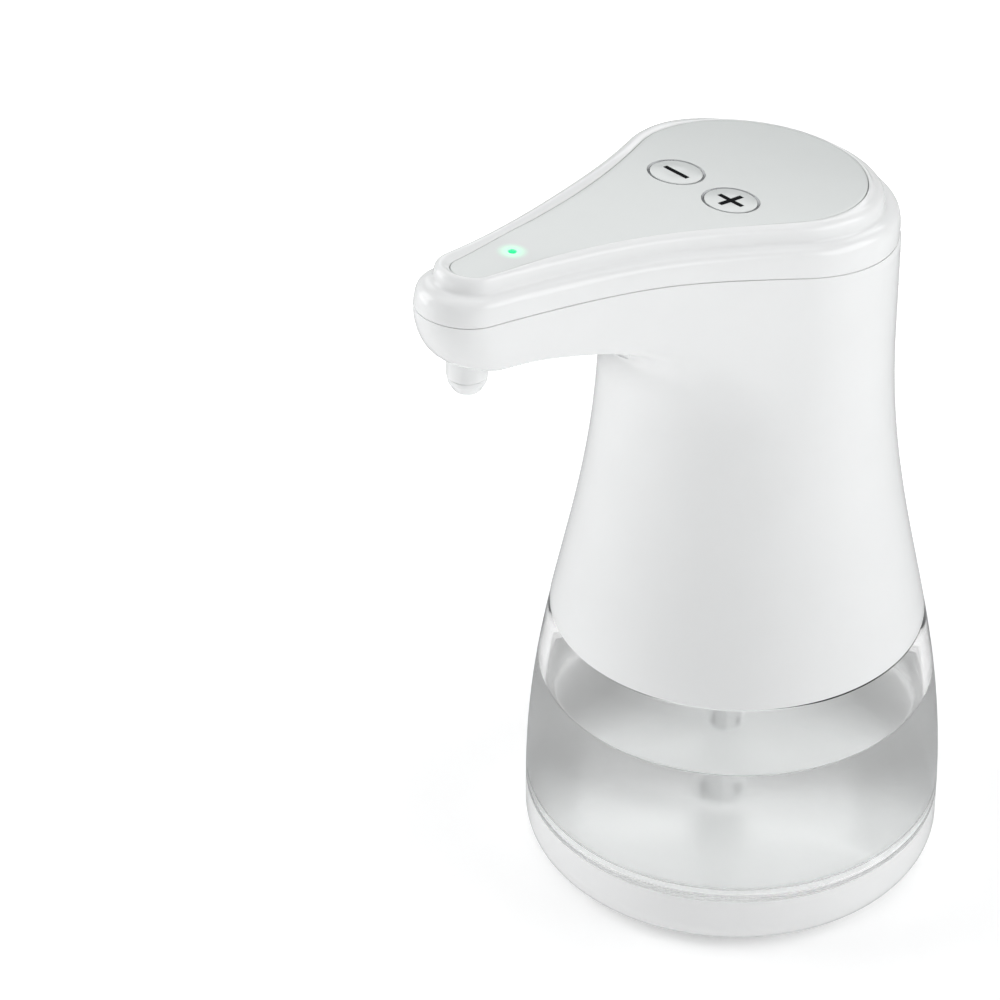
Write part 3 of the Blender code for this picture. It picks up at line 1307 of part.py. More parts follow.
def nozzle():
    at = (0, NOZZLE_Y, 0)
    low, top = NOZZLE_BOTTOM_Z, NOZZLE_TOP_Z
    flange = NOZZLE_FLANGE_Z
    rim = flange + NOZZLE_FLANGE_THICKNESS
    profile = [(0, top), (NOZZLE_RADIUS, top), (NOZZLE_RADIUS, rim), (NOZZLE_FLANGE_RADIUS, rim)]
    profile += [(NOZZLE_FLANGE_RADIUS, flange), (NOZZLE_RADIUS, flange), (NOZZLE_RADIUS, low), (0, low)]
    collar = turned("nozzle_collar", profile, "white_gloss", PIECE_STEPS, at)
    barb = cylinder_mesh(SPIGOT_RADIUS, 0, NOZZLE_RADIUS + NOZZLE_BARB_LENGTH, SMALL_STEPS)
    join(collar, barb, (0, NOZZLE_Y, NOZZLE_ELBOW_Z)).object.rotation_euler = (-math.pi / 2, 0, 0)
    plug_top = low + TIP_PLUG
    valve_top = plug_top + GAP + VALVE_HEIGHT
    cut(collar, cylinder_mesh(NOZZLE_BORE, low - OVERRUN, valve_top + GAP, PIECE_STEPS), at)
    bored(collar, PORT_RADIUS, (0, NOZZLE_Y, valve_top), (0, NOZZLE_Y, NOZZLE_ELBOW_Z))
    bored(collar, PORT_RADIUS, (0, NOZZLE_Y, NOZZLE_ELBOW_Z), (0, NOZZLE_Y + 2 * NOZZLE_BARB_LENGTH, NOZZLE_ELBOW_Z))
    plug = NOZZLE_BORE - SLIDING
    shoulder = low - GAP
    end = low - TIP_DROP
    turned(
        "nozzle_tip",
        [(TIP_BORE, plug_top), (plug, plug_top), (plug, shoulder), (TIP_TOP_RADIUS, shoulder)]
        + [(TIP_END_RADIUS, end), (TIP_BORE, end)],
        "white_gloss",
        PIECE_STEPS,
        at,
    )
    foot = plug_top + GAP
    head = foot + VALVE_HEIGHT
    valve = [(VALVE_RADIUS - VALVE_WALL, head), (VALVE_RADIUS, head), (VALVE_RADIUS, head - VALVE_FLANGE)]
    valve += [(VALVE_END_RADIUS, foot), (VALVE_END_RADIUS - VALVE_WALL, foot)]
    turned("duckbill_valve", valve, "silicone", SMALL_STEPS, at)


def top_cover(head):
    """The cover's two rounded steps and its shelf for the panel, swept round the outline, with the board's pegs."""
    rings = [head_ring(offset, depth) for offset, depth in COVER_PROFILE]
    cover = place("top_cover", loft_mesh(rings, "RING"), "white_gloss", frame=head)
    shelf = PANEL_THICKNESS + 2 * GAP
    end = BOARD_DEPTH + BOARD_THICKNESS + PEG_END
    for x, y in peg_places():
        join(cover, cylinder_mesh(PEG_RADIUS, -end, -shelf - tip_dip(y), SMALL_STEPS), (x, y, 0), head)


def peg_places():
    outline = head_outline(-PEG_INSET)
    third = HALF_POINTS // 3
    return [outline[0], outline[third], outline[-third], outline[HALF_POINTS - third], outline[third - HALF_POINTS]]


def panel_mesh():
    """A slab that bends down towards its tip: a strip joins each point of the outline to its mirror image."""
    outline = head_outline(0)
    count = len(outline)
    bm = bmesh.new()
    rows = []
    for level in (0, -PANEL_THICKNESS):
        rows.append([bm.verts.new((x, y, level - tip_dip(y))) for x, y in outline])
    for i in range(count):
        j = (i + 1) % count
        bm.faces.new((rows[0][i], rows[1][i], rows[1][j], rows[0][j]))
    for row in rows:
        for i in range(count // 2):
            corners = (row[i], row[i + 1], row[count - i - 1], row[(count - i) % count])
            bm.faces.new(list(dict.fromkeys(corners)))
    return finish_mesh(bm, "slab")


def top_panel(head):
    panel = place("top_panel", panel_mesh(), "panel_grey", frame=head)
    low, high = -PANEL_THICKNESS - OVERRUN, OVERRUN
    for side in (-1, 1):
        at = (side * BUTTON_X, BUTTON_Y, 0)
        cut(panel, cylinder_mesh(RING_RADIUS + BEARING, -RING_THICKNESS - SLIDING, high), at, head)
        cut(panel, cylinder_mesh(BUTTON_RADIUS + SLIDING, low, high), at, head)
    cut(panel, cylinder_mesh(LIGHT_RADIUS + SLIDING, low, high, SMALL_STEPS), (0, LIGHT_Y, 0), head)


def buttons(head):
    flange = -PANEL_THICKNESS - GAP
    board = -BOARD_DEPTH + GAP
    for name, side in (("minus", -1), ("plus", 1)):
        at = (side * BUTTON_X, BUTTON_Y, 0)
        profile = [(0, 0), (BUTTON_RADIUS - BUTTON_EDGE, 0), (BUTTON_RADIUS, -BUTTON_EDGE), (BUTTON_RADIUS, flange)]
        profile += [(FLANGE_RADIUS, flange), (FLANGE_RADIUS, flange - FLANGE_THICKNESS), (0, flange - FLANGE_THICKNESS)]
        turned(f"{name}_button", profile, "panel_grey", PIECE_STEPS, at, head)
        ring = ring_profile(RING_RADIUS - RING_WIDTH, RING_RADIUS, -RING_THICKNESS, 0)
        turned(f"{name}_button_ring", ring, "ring_grey", PIECE_STEPS, at, head)
        half = SWITCH_SIZE / 2
        body = box_mesh((-half, -half, board), (half, half, board + SWITCH_HEIGHT))
        switch = place(f"{name}_switch", body, "black_plastic", at, head)
        top = flange - FLANGE_THICKNESS - BUTTON_TRAVEL - BEARING
        join(switch, cylinder_mesh(PLUNGER_RADIUS, board + SWITCH_HEIGHT / 2, top, SMALL_STEPS), at, head)


def control_board(head):
    low = -BOARD_DEPTH - BOARD_THICKNESS
    board = place("control_board", prism_mesh(head_outline(-BOARD_INSET), low, -BOARD_DEPTH), "board_green", frame=head)
    for x, y in peg_places():
        cut(board, cylinder_mesh(PEG_RADIUS + GAP, low - OVERRUN, OVERRUN - BOARD_DEPTH, SMALL_STEPS), (x, y, 0), head)


def status_light(head):
    sunk = tip_dip(LIGHT_Y)
    at = (0, LIGHT_Y, 0)
    half = LIGHT_CHIP_SIZE / 2
    low = -BOARD_DEPTH + GAP
    chip = box_mesh((-half, -half, low), (half, half, low + LIGHT_CHIP_HEIGHT))
    place("status_led", chip, "light_green", at, head)
    flange = -PANEL_THICKNESS - GAP
    foot = low + LIGHT_CHIP_HEIGHT + GAP + sunk
    profile = [(0, 0), (LIGHT_RADIUS, 0), (LIGHT_RADIUS, flange), (LIGHT_FLANGE_RADIUS, flange)]
    profile += [(LIGHT_FLANGE_RADIUS, flange - LIGHT_FLANGE_THICKNESS)]
    profile += [(LIGHT_RADIUS, flange - LIGHT_FLANGE_THICKNESS), (LIGHT_RADIUS, foot), (0, foot)]
    turned("led_lens", profile, "light_green", SMALL_STEPS, (0, LIGHT_Y, -sunk), head)


def main():
    clear_scene()
    collection(COLLECTION_NAME)
    collection(CUTTER_COLLECTION_NAME)
    head = tilted_frame("head_frame", (0, 0, HEAD_Z), -HEAD_TILT)
    height, slope = underside_at(SENSOR_Y)
    window_frame = tilted_frame("window_frame", (0, SENSOR_Y, height), slope)
    base_foot()
    anti_slip_pad()
    soap_tank()
    tank_seal()
    main_shell(head, window_frame)
    top_cover(head)
    top_panel(head)
    buttons(head)
    status_light(head)
    control_board(head)
    chassis()
    chassis_screws()
    battery_case()
    battery_cells()
    contacts()
    battery_door()
    battery_door_seal()
    pump_housing()
    pump_cover()
    pump_gears()
    drive_train()
    motor_bracket()
    motor()
    suction()
    outlet_hose()
    nozzle()
    ir_window(window_frame)
    sensor(window_frame)


main()
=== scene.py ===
"""Looks of the automatic soap dispenser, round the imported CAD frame: smooth housing, clear tank with soap, and studio.

Lengths are in millimetres up to mesh_object, which makes metres of them, and in metres in the looks and the studio.
"""

import json
import math

import bmesh
import bpy
import numpy as np
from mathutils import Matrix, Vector
from mathutils.bvhtree import BVHTree

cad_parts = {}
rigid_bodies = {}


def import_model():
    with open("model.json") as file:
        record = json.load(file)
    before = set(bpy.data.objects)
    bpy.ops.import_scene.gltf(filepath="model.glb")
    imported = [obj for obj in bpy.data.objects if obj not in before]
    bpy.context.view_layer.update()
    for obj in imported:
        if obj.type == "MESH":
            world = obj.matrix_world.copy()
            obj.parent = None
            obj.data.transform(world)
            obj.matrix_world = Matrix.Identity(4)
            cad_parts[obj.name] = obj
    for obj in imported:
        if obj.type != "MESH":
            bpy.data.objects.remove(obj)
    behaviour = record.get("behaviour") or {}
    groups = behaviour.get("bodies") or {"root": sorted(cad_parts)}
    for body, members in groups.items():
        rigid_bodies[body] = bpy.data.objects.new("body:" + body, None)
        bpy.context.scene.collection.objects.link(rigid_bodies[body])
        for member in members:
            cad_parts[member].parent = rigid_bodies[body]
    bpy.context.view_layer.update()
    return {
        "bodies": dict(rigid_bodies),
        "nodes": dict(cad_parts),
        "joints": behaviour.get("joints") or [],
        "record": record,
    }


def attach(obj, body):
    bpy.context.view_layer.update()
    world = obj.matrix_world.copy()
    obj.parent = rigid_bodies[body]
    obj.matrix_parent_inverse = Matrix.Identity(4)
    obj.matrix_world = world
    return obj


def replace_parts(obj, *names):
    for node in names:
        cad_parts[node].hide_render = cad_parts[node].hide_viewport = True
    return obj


MM = 0.001

# The body's flank, from the foot to the neck, as in the CAD source
FLANK_BASE_Z, FLANK_TOP_Z = 15.1, 145.0
TANK_R, NECK_R = 49.9, 33.7
FLANK_LOWER, FLANK_UPPER = 0.40, 0.42

# The head's tilted plane and the teardrop round the panel, with its change per millimetre of offset, as in the CAD,
# and the least share of a flank that a section of the spout keeps
HEAD_Z, HEAD_TILT = 184.3, math.radians(7.68)
REAR_R, REAR_Y, REAR_SHIFT = 26.2, -0.6, 0.20
TIP_Y, TIP_SHIFT, TIP_R, TIP_SHARE = -86.0, -0.267, 4.6, 0.76
REAR_TANGENT, TIP_TANGENT = math.radians(24.2), math.radians(5.1)
LEAST_SHARE = 0.004

# The panel's bend at its tip, and the cover's arch, its fall at the rear and the offsets between which they act
TIP_DIP, DIP_START = 1.3, -66.0
COVER_OUT, PARTING = 7.5, 9.3
SEAM, CREST, SHOULDER, STEP = 0.25, 1.6, 3.0, 3.7
CREST_LIFT, CREST_Y, CREST_SPREAD = 0.95, -46.0, 26.0
REAR_FALL, FALL_START, FALL_LENGTH, FALL_SHARE = 1.3, -2.0, 30.0, 0.35

# How far the parting line hangs below the CAD's: at the tip, and more towards the rear
SAG, SAG_REAR, SAG_Y, SAG_LENGTH, SAG_DEPTH = 0.5, 1.4, -50.0, 60.0, 4.4

# The chin under the tip and the arch down to the neck, as in the CAD source
CHIN_DROP, CHIN_LENGTH, CHIN_LIFT = 16.0, 16.6, 0.05
UNDERSIDE_Z = 135.0
ARCH = (0.667, 0.05, 0.38)
GAP = 0.3

# How far the underside stands off the CAD's along the arm, and the depth below the cover at which all of it counts
CHIN_SHIFT_Y = (-100.0, -96.0, -86.0, -76.0, -66.0, -56.0, -44.0, -32.0)
CHIN_SHIFT = (-1.87, -1.87, -0.28, 2.28, 0.83, 0.07, 0.07, 0.0)
CHIN_SHIFT_DEPTH = 12.0
CHIN_SHIFT_STEPS = 8

# Evening out of the shell's rings: where along Y and X, over which rings, how often and how strongly
RELAX_Y, RELAX_FADE, RELAX_X, RELAX_SIDE = -22.0, 14.0, 8.0, 4.0
RELAX_SIDE_RINGS, RELAX_ALL_RINGS, RELAX_BEYOND = (6, 9), (12, 18), 6
RELAX_PASSES, RELAX_SHARE = 30, 0.5

# The shell under the parting line: its slit, wall, rings, rounded edge and the hole for the nozzle
SLIT = 0.15
SHELL_WALL, SHELL_LOW = 2.2, 67.3
CHIN_RINGS, ARCH_RINGS, NECK_RINGS = 14, 40, 30
SHELL_EDGE, SHELL_EDGE_STEPS, SHELL_EDGE_ANGLE = 0.22, 3, math.radians(60)
NOZZLE_HOLE = ((0, 184), (4.7, 184), (4.7, 166), (0, 166))

# The sensor's window: its place, half its length and width, and how finely it is laid on the shell
SENSOR_Y, SLOPE_STEP = -45.0, 0.004
WINDOW_X, WINDOW_Y, WINDOW_PROUD, WINDOW_DEEP = 6.0, 3.4, 0.03, 1.2
WINDOW_STEPS, WINDOW_SHARES, WINDOW_REACH = 64, (0.02, 0.25, 0.5, 0.75, 0.94, 1.0), 8

# The cover's section: its outside with two rounded steps, and its inside, as (offset from the panel's edge, depth)
COVER_LINE = (
    (0.15, 1.9), (0.15, 0.6), (0.17, 0.08), (0.34, -0.14), (0.75, -0.24), (1.3, -0.25), (1.9, -0.17), (2.5, 0.06),
    (3.05, 0.42), (3.45, 0.98), (3.62, 1.7), (3.68, 2.6), (3.74, 3.15), (3.95, 3.62), (4.4, 3.92), (5.1, 4.12),
    (5.8, 4.42), (6.4, 4.85), (6.9, 5.45), (7.2, 6.15), (7.38, 7.0), (7.47, 8.0), (7.5, 8.9), (7.44, 9.18),
    (7.2, 9.3), (6.4, 9.3), (3.4, 9.3),
)
COVER_INSIDE = ((3.4, 10.8), (2.4, 10.8), (2.4, 7.0), (1.6, 5.6), (-2.4, 3.7), (-2.4, 2.1), (0.15, 2.1))
COVER_STEPS = 3

# The panel's edge as (offset, depth, rounding), and the wells cut in it as (radius, height)
PANEL_LINE = ((-0.6, 1.8), (0, 1.8), (0, 0, 0.18), (-0.6, 0))
PANEL_ROUND = 0.05
BUTTON_WELL = ((0, 1), (6.54, 1), (6.54, -0.98), (5.98, -0.98), (5.98, -3), (0, -3))
LIGHT_WELL = ((0, 1), (1.0, 1), (1.0, -4), (0, -4))

# The buttons, their rings and their signs
BUTTON_X, BUTTON_Y = 8.4, -15.9
CAP_LINE = ((0, -0.04), (2.5, -0.03), (5.92, 0.0, 0.12), (5.92, -2.1), (6.9, -2.1, 0.1), (6.9, -2.9), (0, -2.9))
BEZEL_LINE = ((5.99, -0.12), (5.99, -0.8), (6.5, -0.8), (6.5, 0.04))
BUTTON_ROUND = 0.1
SIGN_HALF, SIGN_STROKE, SIGN_LOW, SIGN_HIGH = 3.5, 0.60, -0.3, 0.03

# The status light's lens
LIGHT_Y = -74.3
LENS_LINE = ((0, 0.10), (0.5, 0.05), (0.78, -0.08), (0.8, -0.3), (0.8, -2.1), (1.5, -2.1), (1.5, -2.9), (0.8, -2.9),
             (0.8, -4.5), (0, -4.5))

# The nozzle's sleeve and tip, as (radius, height, rounding)
NOZZLE_Y = -86.9
SLEEVE_LINE = ((0, 186), (4.5, 186, 0.4), (4.5, 181), (4.9, 181), (4.9, 180), (4.5, 180), (4.5, 168.95, 0.15),
               (3.0, 168.95, 0.1), (3.0, 173.6), (0, 173.6))
SLEEVE_ROUND = 0.1
MOUTH_LINE = ((1.7, 171, 0.2), (2.8, 171, 0.2), (2.8, 168.85, 0.1), (4.48, 168.85, 0.25), (4.15, 167.4, 1.2),
              (2.95, 165.3, 0.7), (1.7, 165.3, 0.3))

# The tank: wall, floor, shoulder and collar, with the bayonet's lugs as (height, radius)
TANK_WALL, TANK_CORNER, CORNER_STEPS = 2.8, 3.0, 10
BED_Z, TANK_LOW, TANK_TOP, TANK_CEILING = 16.2, 15.5, 67.0, 65.8
COLLAR_R, COLLAR_IN, COLLAR_TOP = 33.5, 31.0, 79.0
TANK_OUTER_STEPS, TANK_INNER_STEPS = 40, 30
TANK_RIM = ((0.3, 67.0), (0.05, 66.9))
TANK_HEEL_Z, TANK_HEEL_IN, TANK_HEEL_LOW = 15.4, 0.08, 15.28
TANK_UNDER = ((49.5, 15.24), (0, 15.24))
MOUTH_ROUND, COLLAR_ROUND, NECK_ROUND = 0.3, 0.4, 0.5
LUG_COUNT, LUG_START, LUG_HALF, LUG_POINTS = 3, 30, 13, 15
LUG_LINE = ((72.5, 32.2), (72.5, 35.9), (75.3, 35.9), (75.3, 32.2))

# The soap: its level, how far it reaches into the tank's wall, and its meniscus as (inwards, above the level)
LIQUID_Z, SOAP_INTO, SOAP_CLIMB, SOAP_STEPS = 48.6, 0.05, 0.7, 24
MENISCUS = ((0.25, 0.35), (0.7, 0.12), (1.6, 0.01), (3.5, 0.0))

# The foot, and the white face under the tank's floor
FOOT_LOW, FOOT_EDGE, FOOT_EDGE_STEPS, FOOT_TOP = 0.3, 7.7, 24, 15.12
FOOT_WELL_R, FOOT_WELL_Z = 46.6, 11.8
PAD_R, PAD_Z = 40.8, 1.6
FOOT_ROUND, RIM_ROUND, PAD_ROUND = 0.2, 0.15, 0.1
BED_LINE = ((0, 15.5), (46.4, 15.5), (46.4, 11.9), (0, 11.9))

# How finely outlines and turned pieces are divided, and the angles above which an edge stays sharp
HALF, FINE = 72, 60
BISECTIONS = 40
TURN_LENGTH = 20.0
TURN_STEPS, TANK_STEPS, HOLE_STEPS, LIGHT_STEPS = 96, 192, 48, 32
SHARP, SHARP_HEAD, SHARP_PANEL, SHARP_SOAP = 35, 50, 40, 80

# Rounding of corners: the cosine past which a corner is straight, and the most of a side that a round takes
STRAIGHT, MOST_CUT = 0.999, 0.48

# The camera, as solved from the photograph, in metres
HEADING, PITCH = math.radians(46.636), math.radians(34.503)
CAMERA_AT, LENS, SENSOR_WIDTH, CLIP = (0.5904, -0.6349, 0.6899), 161.935, 36, (0.05, 20)
TOWARD = Vector((math.sin(HEADING), -math.cos(HEADING), 0))
RIGHT = Vector((math.cos(HEADING), math.sin(HEADING), 0))

# Soft lights: name, angle from the camera's side in degrees, distance, height, size and power
LIGHTS = (
    ("overhead", 0, 0.05, 1.30, (1.5, 1.5), 8.6),
    ("right_box", 84, 0.9, 0.50, (0.92, 0.55), 4.2),
    ("left_box", -102, 0.9, 0.45, (0.60, 0.9), 4.4),
    ("front_box", 0, 1.2, 0.90, (0.8, 0.8), 2.2),
    ("back_card", 172, 1.5, 1.05, (1.6, 0.7), 5.0),
)
AIM_Z = 0.10

# Glows that change with distance or height, each as the two ends and the strengths there
FLOOR_HALF, FLOOR_FADE, FLOOR_GLOW = 4.0, (0.12, 0.60), (0.17, 0.70)
SKY_FADE, SKY_GLOW, SKY_TINT = (-0.4, 0.2), (0.40, 0.14), (0.97, 0.985, 1.0, 1)
# The bed's painted light and painted shade: a glow towards the front, and its white darkened towards the rear
BED_FRONT, BED_FADE, BED_PAINTED_SHADE, BED_PAINTED_LIGHT = 0.060, (0.056, 0.080), (1.0, 0.62), (0.18, 0.0)
BED_PAINTED_LIGHT_TINT = (0.97, 1.0, 0.99, 1)
LIGHT_FADE, LIGHT_GLOW, LIGHT_TINT = (0.0004, 0.0042), (0.45, 0.0), (0.02, 1.0, 0.40, 1)
CLOUD_DETAIL, CLOUD_RAMP, BUMP_DISTANCE = 3, (0.3, 0.7), 0.0001


def mix(a, b, t):
    return a + (b - a) * t


def bez(points, t):
    """A point of a Bezier curve."""
    points = [np.array(p, float) for p in points]
    while len(points) > 1:
        points = [mix(a, b, t) for a, b in zip(points, points[1:])]
    return points[0]


def bisect(function, wanted, low, high):
    """Where a rising function reaches a value."""
    for _ in range(BISECTIONS):
        middle = (low + high) / 2
        if function(middle) < wanted:
            low = middle
        else:
            high = middle
    return (low + high) / 2


def held(share):
    return np.clip(share, 0, 1)


def eased(share):
    return held(share) ** 2 * (3 - 2 * held(share))


def arc(cx, cy, radius, start, end, steps):
    angles = np.linspace(start, end, steps + 1)
    return [(cx + radius * math.cos(a), cy + radius * math.sin(a)) for a in angles]


def circle(radius, z, angles, at=(0, 0)):
    return np.column_stack([radius * np.cos(angles) + at[0], radius * np.sin(angles) + at[1], np.full(len(angles), z)])


def body_radius(z):
    if z >= FLANK_TOP_Z:
        return NECK_R
    rise = FLANK_TOP_Z - FLANK_BASE_Z
    curve = ((TANK_R, FLANK_BASE_Z), (TANK_R, FLANK_BASE_Z + rise * FLANK_LOWER),
             (NECK_R, FLANK_TOP_Z - rise * FLANK_UPPER), (NECK_R, FLANK_TOP_Z))
    return float(bez(curve, bisect(lambda s: bez(curve, s)[1], z, 0, 1))[0])


def flank(rear_y, rear_r, tip_y, tip_r):
    """A teardrop's side: a quadratic curve that leaves the rear arc and meets the tip arc along their tangents."""
    start = np.array((rear_r * math.cos(REAR_TANGENT), rear_y - rear_r * math.sin(REAR_TANGENT)))
    end = np.array((tip_r * math.cos(TIP_TANGENT), tip_y - tip_r * math.sin(TIP_TANGENT)))
    a = np.array((math.sin(REAR_TANGENT), math.cos(REAR_TANGENT)))
    b = np.array((math.sin(TIP_TANGENT), math.cos(TIP_TANGENT)))
    turn = a[0] * b[1] - a[1] * b[0]
    gap = start - end
    run = (gap[0] * b[1] - gap[1] * b[0]) / turn
    return start, start - a * run, end


def tip_of(curve, share):
    """The arc that ends a flank cut off at a share of it: its centre's Y, its radius and its first angle."""
    end = bez(curve, share)
    course = mix(curve[1], curve[2], share) - mix(curve[0], curve[1], share)
    course /= np.linalg.norm(course)
    normal = np.array((-course[1], course[0]))
    radius = end[0] / normal[0]
    return end[1] - radius * normal[1], radius, math.atan2(normal[1], normal[0])


def resampled(points, count):
    """The line in equal steps of its length and its turning together, so that tight bends get more points."""
    p = np.array(points)
    step = np.diff(p, axis=0)
    length = np.hypot(step[:, 0], step[:, 1])
    angle = np.unwrap(np.arctan2(step[:, 1], step[:, 0]))
    turn = np.concatenate([[0], np.abs(np.diff(angle)), [0]])
    reached = np.concatenate([[0], np.cumsum(length + TURN_LENGTH * (turn[:-1] + turn[1:]) / 2)])
    wanted = np.linspace(0, reached[-1], count + 1)
    return np.stack([np.interp(wanted, reached, p[:, 0]), np.interp(wanted, reached, p[:, 1])], 1)


def teardrop(rear_y, rear_r, tip_y, tip_r, share=1.0):
    """A teardrop outline, counter-clockwise from the rear."""
    curve = flank(rear_y, rear_r, tip_y, tip_r)
    centre, radius, angle = tip_of(curve, share)
    part = (curve[0], mix(curve[0], curve[1], share), bez(curve, share))
    half = arc(0, rear_y, rear_r, math.pi / 2, -REAR_TANGENT, FINE)
    half += [tuple(bez(part, i / FINE)) for i in range(1, FINE)]
    half += arc(0, centre, radius, angle, -math.pi / 2, FINE)
    half = resampled(half, HALF)
    left = half[:-1] * np.array((-1, 1))
    return np.concatenate([left, half[:0:-1]])


def head_outline(offset):
    return teardrop(REAR_Y + REAR_SHIFT * offset, REAR_R + offset, TIP_Y + TIP_SHIFT * offset,
                    TIP_R + offset * TIP_SHARE)


def tip_dip(y):
    """How far the panel bends down towards its tip."""
    return TIP_DIP * eased((y - DIP_START) / (TIP_Y - TIP_R - DIP_START))


def crown(y, offset):
    """How far a point of the cover stands over its depth: inside it follows the panel, outside its own arch."""
    arch = CREST_LIFT * np.exp(-(((y - CREST_Y) / CREST_SPREAD) ** 2))
    fall = REAR_FALL * eased((y - FALL_START) / FALL_LENGTH)
    outer = held((offset - STEP) / (COVER_OUT - STEP))
    raised = eased((offset - SEAM) / (CREST - SEAM))
    dipped = 1 - eased(offset / SHOULDER)
    return raised * (arch - fall * mix(1, FALL_SHARE, outer)) - dipped * tip_dip(y)


def sag(y, depth):
    """How far the parting line hangs below the CAD's, more so towards the rear."""
    return (SAG + SAG_REAR * eased((y - SAG_Y) / SAG_LENGTH)) * eased((depth - SAG_DEPTH) / (PARTING - SAG_DEPTH))


def from_head(points):
    """Points of the head's tilted frame, in the world."""
    p = np.atleast_2d(np.array(points, float))
    s, c = math.sin(HEAD_TILT), math.cos(HEAD_TILT)
    return np.stack([p[:, 0], p[:, 1] * c + p[:, 2] * s, HEAD_Z - p[:, 1] * s + p[:, 2] * c], 1)


def head_ring(offset, depth):
    o = head_outline(offset)
    follows = COVER_OUT if depth >= PARTING else offset
    ring = from_head(np.column_stack([o, crown(o[:, 1], follows) - depth]))
    ring[:, 2] -= sag(o[:, 1], depth)
    return ring


def panel_ring(offset, depth):
    o = head_outline(offset)
    return from_head(np.column_stack([o, -depth - tip_dip(o[:, 1])]))


def underside():
    """The middle line of the arm's underside: the chin's curve and the arch's, as (y, z)."""
    front = head_ring(COVER_OUT, PARTING + GAP)[HALF]
    y, z = front[1], front[2]
    ny, nz = y + CHIN_LENGTH, z - CHIN_DROP
    neck = -body_radius(UNDERSIDE_Z)
    chin = ((y, z), (y, z - CHIN_DROP / 2), (y + CHIN_LENGTH / 2, nz + CHIN_DROP * CHIN_LIFT), (ny, nz))
    run, fall, rise = ARCH
    arch = ((ny, nz), (mix(ny, neck, run), mix(nz, UNDERSIDE_Z, fall)),
            (neck, UNDERSIDE_Z + (nz - UNDERSIDE_Z) * rise), (neck, UNDERSIDE_Z))
    return chin, arch


def spout_ring(y, z, top_rear, top_front):
    """The shell's slanting section through a point of the underside's middle line."""
    down = (top_front - z) / (top_front - UNDERSIDE_Z)
    rear_z = mix(top_rear, UNDERSIDE_Z, down)
    rear_r = body_radius(rear_z)
    tip_r = TIP_R + COVER_OUT * TIP_SHARE
    tip_y = from_head((0, TIP_Y + TIP_SHIFT * COVER_OUT, -PARTING))[0][1]
    curve = flank(0, rear_r, tip_y, tip_r)

    def reach(share):
        centre, radius, _ = tip_of(curve, share)
        return radius - centre

    outline = teardrop(0, rear_r, tip_y, tip_r, max(bisect(reach, -y, 0, 1), LEAST_SHARE))
    level = z + (outline[:, 1] - y) / (rear_r - y) * (rear_z - z)
    return np.column_stack([outline, level])


def smooth_line(points, steps):
    """A Catmull-Rom line through the points."""
    p = np.array(points, float)
    p = np.vstack([2 * p[0] - p[1], p, 2 * p[-1] - p[-2]])
    out = []
    for i in range(1, len(p) - 2):
        a, b, c, d = p[i - 1], p[i], p[i + 1], p[i + 2]
        for k in range(steps):
            t = k / steps
            out.append(0.5 * (2 * b + (c - a) * t + (2 * a - 5 * b + 4 * c - d) * t * t
                              + (3 * b - a - 3 * c + d) * t ** 3))
    return np.array(out + [p[-2]])


def chin_shift(y, z):
    """How far the underside stands off the CAD's at a place on the arm, as the photograph shows it."""
    knots = smooth_line(list(zip(CHIN_SHIFT_Y, CHIN_SHIFT)), CHIN_SHIFT_STEPS)
    depth = HEAD_Z - y * math.tan(HEAD_TILT) - PARTING - z
    return np.interp(y, knots[:, 0], knots[:, 1]) * eased(depth / CHIN_SHIFT_DEPTH)


def corner_cut(before, here, after, radius):
    """The ends of the round that replaces a corner, or None where the line runs straight through."""
    a, b = before - here, after - here
    la, lb = np.linalg.norm(a), np.linalg.norm(b)
    cos = float(np.clip(a @ b / la / lb, -1, 1))
    if cos < -STRAIGHT:
        return None
    cut = min(radius / math.tan(math.acos(cos) / 2), la * MOST_CUT, lb * MOST_CUT)
    return here + a / la * cut, here + b / lb * cut


def rounded(points, radius, steps=4):
    """Rounds the corners of an open profile. A corner marked with a third value takes it as its radius."""
    out = []
    for i, p in enumerate(points):
        here = np.array(p[:2], float)
        r = p[2] if len(p) > 2 else radius
        ends = None
        if i not in (0, len(points) - 1) and r > 0:
            ends = corner_cut(np.array(points[i - 1][:2], float), here, np.array(points[i + 1][:2], float), r)
        if ends is None:
            out.append(here)
            continue
        start, end = ends
        for k in range(steps + 1):
            t = k / steps
            out.append((1 - t) ** 2 * start + 2 * t * (1 - t) * here + t * t * end)
    return out


def rounded_closed(points, radius=0.0, steps=3):
    """Rounds every corner of a closed profile."""
    out = []
    for i, p in enumerate(points):
        trio = [points[i - 1][:2], p, points[(i + 1) % len(points)][:2]]
        out += rounded(trio, radius, steps)[1:-1]
    return out


def smooth(made, sharp):
    made.data.shade_smooth()
    made.data.set_sharp_from_angle(angle=math.radians(sharp))


def mesh_object(name, points, faces, sharp=SHARP):
    """A smooth-shaded object of points in millimetres, its normals outwards."""
    mesh = bpy.data.meshes.new(name)
    mesh.from_pydata([tuple(p * MM) for p in np.asarray(points, float)], [], [tuple(map(int, f)) for f in faces])
    bm = bmesh.new()
    bm.from_mesh(mesh)
    bmesh.ops.recalc_face_normals(bm, faces=bm.faces[:])
    bm.to_mesh(mesh)
    bm.free()
    made = bpy.data.objects.new(name, mesh)
    bpy.context.scene.collection.objects.link(made)
    smooth(made, sharp)
    return made


def strips(rings, count, closed, ends_open=False):
    """Faces between neighbouring rings of count points; closed also joins the last ring to the first."""
    faces = []
    for r in range(rings if closed else rings - 1):
        a, b = r * count, (r + 1) % rings * count
        for i in range(count - 1 if ends_open else count):
            j = (i + 1) % count
            faces.append((a + i, b + i, b + j, a + j))
    return faces


